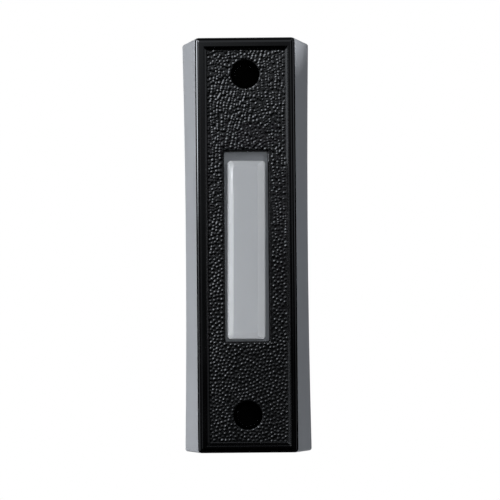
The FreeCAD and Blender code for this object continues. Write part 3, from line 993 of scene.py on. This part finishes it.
def boxAt(name, sizes, centre):
    shell = bmesh.new()
    bmesh.ops.create_cube(shell, size=1.0)
    bmesh.ops.scale(shell, vec=Vector(sizes) * mm, verts=shell.verts)
    bmesh.ops.translate(shell, vec=Vector(centre) * mm, verts=shell.verts)
    return newObject(name, meshFrom(shell, name))


def rodAt(name, diameter, front, back, z):
    shell = bmesh.new()
    turn = Matrix.Translation(Vector((0, (front + back) / 2, z)) * mm) @ Matrix.Rotation(pi / 2, 4, "X")
    radius = diameter / 2 * mm
    bmesh.ops.create_cone(
        shell, cap_ends=True, segments=40, radius1=radius, radius2=radius, depth=(back - front) * mm,
        matrix=turn,
    )
    return newObject(name, meshFrom(shell, name))


def combine(thing, tool, operation):
    cut = thing.modifiers.new(operation.lower(), "BOOLEAN")
    cut.operation = operation
    cut.object = tool
    cut.solver = "EXACT"
    applyModifiers(thing)
    bpy.data.objects.remove(tool)


def hollowBar(piece, offset):
    # the lamp's room and the springs' pockets are cut, and the nib that presses the leaf is added
    roomX, roomZ = bar["lampRoom"]
    roomFront = barFace + bar["skin"]
    roomDepth = flangeBack + past - roomFront
    room = boxAt("lampRoom", (roomX, roomDepth, roomZ), (0, roomFront + roomDepth / 2, offset))
    combine(piece, room, "DIFFERENCE")
    pocket, pocketDepth = bar["springPocket"]
    for end in (1, -1):
        pocketZ = offset + end * bar["springPitch"] / 2
        tool = rodAt("pocket", pocket, flangeBack - pocketDepth, flangeBack + past, pocketZ)
        combine(piece, tool, "DIFFERENCE")
    nibX, nibZ, nibLong = bar["nib"]
    placeX, placeZ = bar["nibPlace"]
    overlap = bar["nibOverlap"]
    centre = (placeX, flangeBack + (nibLong - overlap) / 2, placeZ + offset)
    combine(piece, boxAt("nib", (nibX, nibLong + overlap, nibZ), centre), "UNION")


def barPart(face):
    # 1 on the flat front, with painted shade, 2 on the ledge, with painted shade and a painted glow, 3 on
    # the steep left bevel, 4 on the left edge, with painted shade, 0 elsewhere
    y = face.center.y / mm
    bevelTilt, edgeTilt = bar["tilts"]
    bevelX = bar["width"] / 2 - bar["sideBevel"] + 0.05
    onBevel = abs(face.center.x / mm + bar["crownShift"]) > bevelX
    if y < barFace + 0.003 or not onBevel and y < barShoulder + bar["edgeRound"]:
        return 1
    if y > flangeFront - bar["ledgeShadeReach"]:
        return 2
    if face.normal.x < bevelTilt and barFace + 0.02 < y < barShoulder + 0.01:
        return 3
    return 4 if face.normal.x < edgeTilt and y > barShoulder + 0.02 else 0


def makePushBar():
    foot, below = bar["seams"]
    corner, edge, soft = bar["cornerRadius"], bar["edgeRound"], bar["flangeEdge"]
    rings = [(barShoulder + foot * (1 - min(t, 1)), crownRing(t)) for t in bar["crownSteps"]]
    for step in range(bar["edgeSteps"], -1, -1):
        turn = radians(bar["edgeTurn"] * step)
        inset = edge * (1 - cos(turn))
        rings.append((barShoulder + edge * (1 - sin(turn)) + below, barOutline(inset, inset, corner)))
    rings.append((flangeFront, barOutline(0, 0, corner)))
    rings.append((flangeFront, flangeRing(soft)))
    rings.append((flangeFront + soft, flangeRing(0)))
    rings.append((flangeBack - soft, flangeRing(0)))
    rings.append((flangeBack, flangeRing(soft)))
    piece = loftRings("pushBar", rings)
    offset = openDrop + bar["drop"]
    hollowBar(piece, offset)
    parts = [barPart(face) for face in piece.data.polygons]
    lean = Matrix.Rotation(radians(bar["lean"]), 4, "Y")
    piece.data.transform(Matrix.Translation((0, 0, -offset * mm)) @ lean)
    smoothByAngle(piece.data, bar["crease"])
    return piece, parts


pushBar, barParts = makePushBar()
finishPiece(pushBar, barWhite, "bar_white", "button", "push_bar")
# the flat front, the ledge and the left edge get painted shade, the ledge also a painted glow, and the steep
# left bevel more gloss
for material in (barFlatShaded, barLedgeShadeGlow, barShine, barEdgeShaded):
    pushBar.data.materials.append(material)
pushBar.data.polygons.foreach_set("material_index", barParts)
print("push bar:", len(pushBar.data.polygons), "faces")


# Outer case

outerCase = cadCopy("outer_case", "outerCase")
finishPiece(outerCase, caseGrey, "case_grey", "housing", "outer_case")


# Fasteners and springs, repeated by Geometry Nodes

fasteners = {
    "screwPitch": (14.0, 55.2),
    "screwHead": 3.8,
    "screwHeadHeight": 1.3,
    "headEdge": 0.35,       # share of the head's height up to where its dome starts
    "domeTurn": 62,
    "domeSteps": 6,
    "screwShank": 2.0,
    "screwLength": 5.0,
    "threads": 9,
    "threadDepth": 0.16,
    "threadPart": (0.35, 3.9),          # from the tip to the thread, and the thread's length
    "cross": (2.3, 0.52),
    "crossDepth": 0.75,
    "crossTaper": (0.62, 0.8),
    "stakePitch": (15.0, 80.4),
    "stakeMiddle": 16.2,
    "stake": 1.6,
    "stakeLength": 1.5,
    "stakeHead": 2.6,
    "stakeHeadHeight": 0.7,
    "creases": (35, 40),    # of the screws and of the stakes
}

springs = {
    "coilRadius": 1.75,
    "wireRadius": 0.2,
    "turns": 5.5,
    "turnSteps": 40,
    "wireSides": 12,
    "closedRise": 0.44,     # of the closed turn at each end
    "length": 5.8,
    "reach": 14.6,          # from the middle to each spring
    "back": -6.2,
    "crease": 50,
}

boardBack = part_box("contact_board")[1].y / mm
upright = (pi / 2, 0, 0)    # turns what a tree lays out flat up against the wall


def turnedMesh(name, profile):
    # solid of revolution round the Y axis; the profile is (radius, depth) and closes on the axis
    shell = bmesh.new()
    sides = 28
    rings = []
    for radius, depth in profile:
        turns = [step / sides * tau for step in range(sides if radius else 1)]
        rings.append([
            shell.verts.new((radius * cos(turn) * mm, depth * mm, radius * sin(turn) * mm)) for turn in turns
        ])
    for near, far in zip(rings, rings[1:]):
        for here in range(sides):
            there = (here + 1) % sides
            corners = [near[here % len(near)], near[there % len(near)]]
            corners += [far[there % len(far)], far[here % len(far)]]
            shell.faces.new(list(dict.fromkeys(corners)))
    bmesh.ops.recalc_face_normals(shell, faces=shell.faces)
    return meshFrom(shell, name)


def newTree(name, inputs):
    tree = bpy.data.node_groups.new(name, "GeometryNodeTree")
    tree.interface.new_socket("Geometry", in_out="OUTPUT", socket_type="NodeSocketGeometry")
    tree.interface.new_socket("Geometry", in_out="INPUT", socket_type="NodeSocketGeometry")
    kinds = {bool: "NodeSocketBool", int: "NodeSocketInt", float: "NodeSocketFloat"}
    for label, value in inputs.items():
        kind = kinds.get(type(value), "NodeSocketMaterial")
        socket = tree.interface.new_socket(label, in_out="INPUT", socket_type=kind)
        if value is not None:
            socket.default_value = value
    return tree, tree.nodes.new("NodeGroupInput").outputs


def endTree(tree, given, points, shape):
    # the shape at each point, made real and given its material
    placed = addNode(tree, "GeometryNodeInstanceOnPoints", {"Points": points, "Instance": shape})
    real = addNode(tree, "GeometryNodeRealizeInstances", {"Geometry": placed})
    paint = addNode(tree, "GeometryNodeSetMaterial", {"Geometry": real, "Material": given["Material"]})
    addNode(tree, "NodeGroupOutput", {"Geometry": paint})
    return tree


def studTree():
    # the given stud at four corners, and at two places between them where wanted
    tree, given = newTree("studsOnPlate", {
        "Pitch X": 0.01, "Pitch Z": 0.05, "Middle": False, "Middle pitch": 0.01, "Material": None,
    })
    grid = addNode(tree, "GeometryNodeMeshGrid", {
        "Vertices X": 2, "Vertices Y": 2, "Size X": given["Pitch X"], "Size Y": given["Pitch Z"],
    })
    middle = addNode(tree, "GeometryNodeMeshGrid", {
        "Vertices X": 2, "Vertices Y": 2, "Size X": given["Middle pitch"], "Size Y": 0.0,
    })
    merged = addNode(tree, "GeometryNodeMergeByDistance", {"Geometry": middle})
    wanted = addNode(tree, "GeometryNodeSwitch", {"Switch": given["Middle"], "True": merged})
    both = addNode(tree, "GeometryNodeJoinGeometry", {"Geometry": grid})
    fill(tree, both, {"Geometry": wanted})
    places = addNode(tree, "GeometryNodeTransform", {"Geometry": both, "Rotation": upright})
    return endTree(tree, given, places, given["Geometry"])


def springTree():
    # two coil springs: a spiral whose turns are closed at both ends, swept by the wire's section
    tree, given = newTree("coilSprings", {
        "Coil radius": 0.002, "Wire radius": 0.0002, "Turns": 5.5, "Closed rise": 0.0004,
        "Length": 0.006, "Reach": 0.016, "Back": 0.0, "Material": None,
    })

    def work(operation, *values):
        return mathNode(tree, operation, *values)

    turns, closed, radius = given["Turns"], given["Closed rise"], given["Coil radius"]
    spiral = addNode(tree, "GeometryNodeCurveSpiral", {
        "Resolution": springs["turnSteps"], "Height": 0.0, "Rotations": turns,
        "Start Radius": radius, "End Radius": radius,
    })
    turn = work("MULTIPLY", addNode(tree, "GeometryNodeSplineParameter"), turns)
    first = work("MINIMUM", turn, 1.0)
    last = work("MAXIMUM", work("SUBTRACT", turn, work("SUBTRACT", turns, 1.0)), 0.0)
    closedPart = work("MULTIPLY", work("ADD", first, last), closed)
    between = work("SUBTRACT", work("SUBTRACT", turn, first), last)
    part = work("DIVIDE", between, work("SUBTRACT", turns, 2.0))
    openLength = work("SUBTRACT", given["Length"], work("MULTIPLY", closed, 2.0))
    rise = work("ADD", closedPart, work("MULTIPLY", part, openLength))
    lift = addNode(tree, "ShaderNodeCombineXYZ", {"Z": rise})
    helix = addNode(tree, "GeometryNodeSetPosition", {"Geometry": spiral, "Offset": lift})
    section = addNode(tree, "GeometryNodeCurvePrimitiveCircle", {
        "Resolution": springs["wireSides"], "Radius": given["Wire radius"],
    })
    wire = addNode(tree, "GeometryNodeCurveToMesh", {
        "Curve": helix, "Profile Curve": section, "Fill Caps": True,
    })
    coil = addNode(tree, "GeometryNodeTransform", {"Geometry": wire, "Rotation": upright})
    start, end = (
        addNode(tree, "ShaderNodeCombineXYZ", {
            "Y": given["Back"], "Z": work("MULTIPLY", given["Reach"], side),
        })
        for side in (1.0, -1.0)
    )
    ends = tree.nodes.new("GeometryNodeMeshLine")
    ends.mode = "END_POINTS"
    fill(tree, ends, {"Count": 2, "Start Location": start, "Offset": end})
    return endTree(tree, given, ends, coil)


def grow(name, tree, values, mesh=None):
    # an object whose mesh the tree makes
    thing = newObject(name, mesh or bpy.data.meshes.new(name))
    build = thing.modifiers.new("build", "NODES")
    build.node_group = tree
    for item in tree.interface.items_tree:
        if item.in_out == "INPUT" and item.name in values:
            build[item.identifier] = values[item.name]
    return applyModifiers(thing)


def screwProfile():
    head, high = fasteners["screwHead"] / 2, fasteners["screwHeadHeight"]
    shank, tip = fasteners["screwShank"] / 2, -fasteners["screwLength"]
    threadStart, threadLength = fasteners["threadPart"]
    flanks = fasteners["threads"] * 2
    profile = [(0, tip), (shank * 0.6, tip)]
    for step in range(flanks + 1):
        radius = shank if step % 2 else shank - fasteners["threadDepth"]
        profile.append((radius, tip + threadStart + step / flanks * threadLength))
    edge = high * fasteners["headEdge"]
    profile += [(shank, -0.4), (shank, 0.0), (head - 0.06, 0.0), (head, 0.08), (head, edge)]
    whole = radians(fasteners["domeTurn"])
    for step in range(1, fasteners["domeSteps"] + 1):
        turn = step / fasteners["domeSteps"] * whole
        rise = (high - edge) * sin(turn) / sin(whole)
        profile.append((head * 0.55 + head * 0.45 * cos(turn), edge + rise))
    return profile + [(head * 0.4, high), (0, high)]


def makeBoardScrews():
    high = fasteners["screwHeadHeight"]
    taperX, taperZ = fasteners["crossTaper"]
    screw = newObject("boardScrew", turnedMesh("boardScrew", screwProfile()))
    for sizeX, sizeZ in (fasteners["cross"], fasteners["cross"][::-1]):
        shell = bmesh.new()
        bmesh.ops.create_cube(shell, size=1.0)
        for corner in shell.verts:
            deep = corner.co.y < 0
            corner.co.x *= sizeX * mm * (taperX if deep else 1.0)
            corner.co.z *= sizeZ * mm * (taperZ if deep else 1.0)
            corner.co.y = (high - fasteners["crossDepth"] if deep else high + 0.3) * mm
        combine(screw, newObject("cross", meshFrom(shell, "cross")), "DIFFERENCE")
    mesh = screw.data
    mesh.transform(Matrix.Translation((0, boardBack * mm, 0)))
    bpy.data.objects.remove(screw)
    pitchX, pitchZ = fasteners["screwPitch"]
    piece = grow("boardScrews", studsOnPlate, {
        "Pitch X": pitchX * mm, "Pitch Z": pitchZ * mm, "Material": zinc,
    }, mesh)
    smoothByAngle(piece.data, fasteners["creases"][0])
    return piece


def makeStakes():
    # the plate's pegs, melted over behind the case's web
    back = panelBack + fasteners["stakeLength"]
    peg, head, high = fasteners["stake"] / 2, fasteners["stakeHead"] / 2, fasteners["stakeHeadHeight"]
    profile = [(0, panelBack), (peg, panelBack), (peg, back)]
    profile += [(head - 0.1, back), (head, back + 0.1), (head - 0.02, back + 0.22)]
    for out, up in ((0.86, 0.62), (0.62, 0.9), (0.5, 1), (0.42, 0.97), (0.3, 0.72), (0, 0.66)):
        profile.append((head * out, back + high * up))
    pitchX, pitchZ = fasteners["stakePitch"]
    piece = grow("plateStakes", studsOnPlate, {
        "Pitch X": pitchX * mm, "Pitch Z": pitchZ * mm, "Middle": True,
        "Middle pitch": fasteners["stakeMiddle"] * mm, "Material": plateBlack,
    }, turnedMesh("stake", profile))
    smoothByAngle(piece.data, fasteners["creases"][1])
    return piece


def makeSprings():
    piece = grow("returnSprings", coilSprings, {
        "Coil radius": springs["coilRadius"] * mm, "Wire radius": springs["wireRadius"] * mm,
        "Turns": springs["turns"], "Closed rise": springs["closedRise"] * mm,
        "Length": springs["length"] * mm, "Reach": springs["reach"] * mm,
        "Back": springs["back"] * mm, "Material": springSteel,
    })
    smoothByAngle(piece.data, springs["crease"])
    return piece


studsOnPlate = studTree()
coilSprings = springTree()
finishPiece(
    makeBoardScrews(), zinc, "zinc", "housing", "board_screw_upper_left", "board_screw_upper_right",
    "board_screw_lower_left", "board_screw_lower_right",
)
finishPiece(makeStakes(), plateBlack, "plate_black", "housing")
returnSprings = makeSprings()
finishPiece(
    returnSprings, springSteel, "spring_steel", "housing", "return_spring_upper", "return_spring_lower"
)
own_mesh(returnSprings)
print("fasteners and springs made")


# Contact mechanism and lamp

innerPieces = {
    "contact_board": ("contactBoard", boardBrown, "board_brown", "housing"),
    "contact_strip": ("contactStrip", brass, "brass", "housing"),
    "fixed_contact": ("fixedContact", silver, "contact_silver", "housing"),
    "moving_contact": ("movingContact", silver, "contact_silver", "button"),
    "leaf_eyelet": ("leafEyelet", brass, "brass", "housing"),
    "strip_eyelet": ("stripEyelet", brass, "brass", "housing"),
    "terminal_bush_left": ("terminalBushLeft", brass, "brass", "housing"),
    "terminal_bush_right": ("terminalBushRight", brass, "brass", "housing"),
    "terminal_washer_left": ("terminalWasherLeft", brass, "brass", "housing"),
    "terminal_washer_right": ("terminalWasherRight", brass, "brass", "housing"),
    "terminal_screw_left": ("terminalScrewLeft", brass, "brass", "housing"),
    "terminal_screw_right": ("terminalScrewRight", brass, "brass", "housing"),
    "lamp_bulb": ("lampBulb", glass, "lamp_glass", "housing"),
    "lamp_holder": ("lampHolder", rubberDark, "holder_rubber", "housing"),
    "lamp_lead_left": ("lampLeadLeft", tinned, "tinned_wire", "housing"),
    "lamp_lead_right": ("lampLeadRight", tinned, "tinned_wire", "housing"),
}
for node, (name, material, slotName, body) in innerPieces.items():
    finishPiece(cadCopy(node, name), material, slotName, body, node)

leafBend = {
    "start": 3.0,           # where the leaf leaves the board
    "end": 10.8,            # the contact that the bar carries
    "cuts": 24,
}


def cutAcross(thing, start, end, cuts):
    # level lines across the piece, evenly spaced between two heights
    shell = bmesh.new()
    shell.from_mesh(thing.data)
    for step in range(cuts + 1):
        z = start + (end - start) * step / cuts
        bmesh.ops.bisect_plane(
            shell, geom=shell.verts[:] + shell.edges[:] + shell.faces[:],
            plane_co=(0, 0, z * mm), plane_no=(0, 0, 1), dist=1e-8,
        )
    shell.to_mesh(thing.data)
    shell.free()
    smoothByAngle(thing.data, cadCrease)


contactLeaf = cadCopy("contact_leaf", "contactLeaf")
finishPiece(contactLeaf, bronze, "bronze", None, "contact_leaf")
cutAcross(contactLeaf, leafBend["start"], leafBend["end"], leafBend["cuts"])
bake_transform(contactLeaf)

solder = {
    "place": (2.95, -3.98), # from the middle to each drop, and the board's front
    "size": (0.62, 0.34, 0.5),
    "sag": 0.12,
}


def makeSolder():
    # one drop of solder where each lamp lead meets its terminal's bush
    shell = bmesh.new()
    placeX, placeY = solder["place"]
    wide, thick, high = solder["size"]
    for side in (-1, 1):
        made = bmesh.ops.create_icosphere(shell, subdivisions=3, radius=1.0)
        for corner in made["verts"]:
            x, y, z = corner.co
            sag = 1 + solder["sag"] * sin(5 * x + side) * cos(4 * z)
            place = (side * placeX + x * wide * sag, placeY + y * thick, z * high * sag)
            corner.co = Vector(place) * mm
    mesh = meshFrom(shell, "solderDrops")
    mesh.shade_smooth()
    return newObject("solderDrops", mesh)


finishPiece(makeSolder(), tinned, "tinned_wire", "housing")
print("mechanism dressed")


# Stage: floor, and near-black discs behind the screw holes: painted shade of the wall seen through them

stage = {
    "floorTone": (0.8, 0.8, 0.8, 1),
    "floorLift": 0.4,       # keeps the floor pale to the eye
    "floorDrop": 79.0,
    "floorRadius": 450.0,
    "discSides": 96,
    "wallShadeTone": (0.002, 0.002, 0.002, 1),
    "wallDisc": 2.37,
    "discDepth": -9.5,
}


def stageDisc(name, radius, material, place):
    shell = bmesh.new()
    sides = stage["discSides"]
    bmesh.ops.create_circle(shell, cap_ends=True, segments=sides, radius=radius * mm)
    disc = newObject(name, meshFrom(shell, name))
    disc.data.transform(place)
    disc.data.materials.append(material)
    return disc


def makeStage():
    pale, tree, shader = newMaterial("paleFloor", {
        "Base Color": stage["floorTone"], "Roughness": 0.8, "Emission Color": (1, 1, 1, 1),
    })
    seen = addNode(tree, "ShaderNodeLightPath").outputs["Is Camera Ray"]
    lift = mathNode(tree, "MULTIPLY", seen, stage["floorLift"])
    fill(tree, shader, {"Emission Strength": lift})
    down = Matrix.Translation((0, 0, -stage["floorDrop"] * mm))
    floor = stageDisc("floor", stage["floorRadius"], pale, down)
    floor.visible_glossy = False

    # the discs' near-black tone is painted shade; from behind they let everything through
    dark, tree, shader = newMaterial("wallInShadow", {
        "Base Color": stage["wallShadeTone"], "Roughness": 1.0, "Specular IOR Level": 0.0,
    })
    behind = addNode(tree, "ShaderNodeNewGeometry").outputs["Backfacing"]
    clear = addNode(tree, "ShaderNodeBsdfTransparent")
    mix = addNode(tree, "ShaderNodeMixShader", {0: behind, 1: shader, 2: clear})
    fill(tree, tree.nodes["Material Output"], {"Surface": mix})
    for name, z in (("wallUpper", holeZ), ("wallLower", -holeZ)):
        place = Matrix.Translation((0, stage["discDepth"] * mm, z * mm)) @ Matrix.Rotation(pi / 2, 4, "X")
        stageDisc(name, stage["wallDisc"], dark, place)


# Light: what diffuse surfaces see, and what gloss shows

lights = {
    "ambient": ((0.96, 0.98, 1.0, 1), 0.01),
    "mirroredTint": (0.76, 0.8, 0.86, 1),
    "back": (-0.2, 0.6),    # where along Y the cards give way to the tone behind the object
    "backTone": 0.4,
}

mirrored = {
    # cards that gloss shows, by steps along an axis: its name, start, end, tone before and after
    "frontCard": (("X", -0.28, -0.13, 0.1, 1.0), ("Z", 0.6, 0.9, 1.0, 0.03)),
    "faintCard": (("X", 0.08, 0.14, 0.0, 0.75), ("X", 0.3, 0.42, 1.0, 0.1), ("Z", -0.01, 0.07, 0.06, 1.0)),
    "sideCard": (("X", -0.94, -0.87, 11.0, 0.0), ("Z", 0.045, 0.075, 0.06, 1.0)),
    "farCard": (("X", 0.86, 0.95, 0.0, 0.55), ("Z", -0.01, 0.07, 0.3, 1.0)),
}

frontCard = {
    # the front card's own tone, which fades from the upper left towards the camera
    "lean": (-30.0, 0.0, 22.0),
    "tone": 0.025,
    "most": 0.8,
}

roundCard = {
    # a small round card, up and to the left, whose light the grain's pebbles catch
    "way": (32, 25),
    "half": (22, 12),
    "tone": 10.0,
}

lamps = {
    # azimuth from the front towards -X, elevation, distance, width, height, watts
    "sideLeft": (82, 8, 420, 270, 200, 1.04),
    "highLeft": (20, 38, 800, 300, 300, 0.74),
    "rightFill": (-22, 16, 800, 330, 330, 1.16),
    "behind": (180, 12, 800, 400, 300, 2.4),
    "topFront": (0, 65, 800, 300, 300, 0.34),
    "nearAxis": (2, 6, 800, 160, 160, 0.1),
}
lampColors = {"rightFill": (0.975, 0.995, 1.03)}    # the others are white

cornerBeam = {
    # a narrow beam past the case's upper right corner
    "aim": (12.0, -16.7, 58.8),
    "way": (-88, -24),
    "distance": 280,
    "radius": 20.0,
    "softness": 0.15,
    "watts": 2.3,
    "size": 4.0,
}


def wayTo(azimuth, elevation):
    a, e = radians(azimuth), radians(elevation)
    return Vector((-sin(a) * cos(e), -cos(a) * cos(e), sin(e)))


def makeWorld():
    world = bpy.data.worlds.new("studio")
    bpy.context.scene.world = world
    world.use_nodes = True
    tree = world.node_tree
    way = addNode(tree, "ShaderNodeTexCoord").outputs["Generated"]
    along = addNode(tree, "ShaderNodeSeparateXYZ", {"Vector": way}).outputs

    def towards(place):
        return addNode(tree, "ShaderNodeVectorMath", {0: way, 1: place}, "DOT_PRODUCT").outputs["Value"]

    def step(source, start, end, before, after):
        ramp = addNode(tree, "ShaderNodeMapRange", {
            "Value": source, "From Min": start, "From Max": end, "To Min": before, "To Max": after,
        })
        ramp.interpolation_type = "SMOOTHSTEP"
        return ramp

    rise = mathNode(tree, "EXPONENT", towards(frontCard["lean"]))
    held = mathNode(tree, "MINIMUM", mathNode(tree, "MULTIPLY", rise, frontCard["tone"]), frontCard["most"])
    outer, inner = (cos(radians(angle)) for angle in roundCard["half"])
    total = step(towards(wayTo(*roundCard["way"])), outer, inner, 0.0, roundCard["tone"])
    for name, steps in mirrored.items():
        tone = held if name == "frontCard" else 1.0
        for axis, *limits in steps:
            tone = mathNode(tree, "MULTIPLY", tone, step(along[axis], *limits))
        total = mathNode(tree, "ADD", total, tone)
    behind = step(along["Y"], *lights["back"], 0.0, 1.0)
    strength = addNode(tree, "ShaderNodeMix", {"Factor": behind, "A": total, "B": lights["backTone"]})

    # gloss sees the cards, the camera and glass see white, and all else the ambient light
    ray = addNode(tree, "ShaderNodeLightPath").outputs
    color, level = lights["ambient"]
    ambient = tree.nodes["Background"]
    fill(tree, ambient, {"Color": color, "Strength": level})
    cards = addNode(tree, "ShaderNodeBackground", {"Color": lights["mirroredTint"], "Strength": strength})
    white = addNode(tree, "ShaderNodeBackground", {"Color": (1, 1, 1, 1), "Strength": 1.0})
    glossy = addNode(tree, "ShaderNodeMixShader", {0: ray["Is Glossy Ray"], 1: ambient, 2: cards})
    seen = mathNode(tree, "MAXIMUM", ray["Is Camera Ray"], ray["Is Transmission Ray"])
    last = addNode(tree, "ShaderNodeMixShader", {0: seen, 1: glossy, 2: white})
    fill(tree, tree.nodes["World Output"], {"Surface": last})


def placeLamp(lamp, way, distance, aim=(0, 0, 0)):
    holder = newObject(lamp.name, lamp)
    holder.location = (Vector(aim) + way * distance) * mm
    holder.rotation_euler = way.to_track_quat("Z", "Y").to_euler()
    holder.visible_camera = False
    holder.visible_glossy = False


def addLamp(name, azimuth, elevation, distance, width, height, watts):
    lamp = bpy.data.lights.new(name, "AREA")
    lamp.shape = "RECTANGLE"
    lamp.size = width * mm
    lamp.size_y = height * mm
    lamp.energy = watts
    lamp.color = lampColors.get(name, (1, 1, 1))
    placeLamp(lamp, wayTo(azimuth, elevation), distance)


def addBeam():
    lamp = bpy.data.lights.new("cornerBeam", "SPOT")
    lamp.energy = cornerBeam["watts"]
    lamp.shadow_soft_size = cornerBeam["size"] * mm
    lamp.spot_size = 2 * np.arctan(cornerBeam["radius"] / cornerBeam["distance"])
    lamp.spot_blend = cornerBeam["softness"]
    placeLamp(lamp, wayTo(*cornerBeam["way"]), cornerBeam["distance"], cornerBeam["aim"])


# Camera

view = {
    "place": (3.7, -638.0, -24.8),
    "aim": (0.74, -14.0, -1.19),
    "lens": 210.5,
    "sensor": 36.0,
    "roll": -0.49,
}


def makeCamera():
    camera = bpy.data.cameras.new("camera")
    camera.lens = view["lens"]
    camera.sensor_width = view["sensor"]
    camera.clip_start = 0.01
    holder = newObject("camera", camera)
    place, aim = Vector(view["place"]) * mm, Vector(view["aim"]) * mm
    turn = (aim - place).to_track_quat("-Z", "Y").to_matrix().to_4x4()
    roll = Matrix.Rotation(radians(view["roll"]), 4, "Z")
    holder.matrix_world = Matrix.Translation(place) @ turn @ roll
    bpy.context.scene.camera = holder


makeStage()
makeWorld()
for name, values in lamps.items():
    addLamp(name, *values)
addBeam()
makeCamera()
bpy.context.scene.view_settings.view_transform = "Standard"
print("stage, light and camera set")
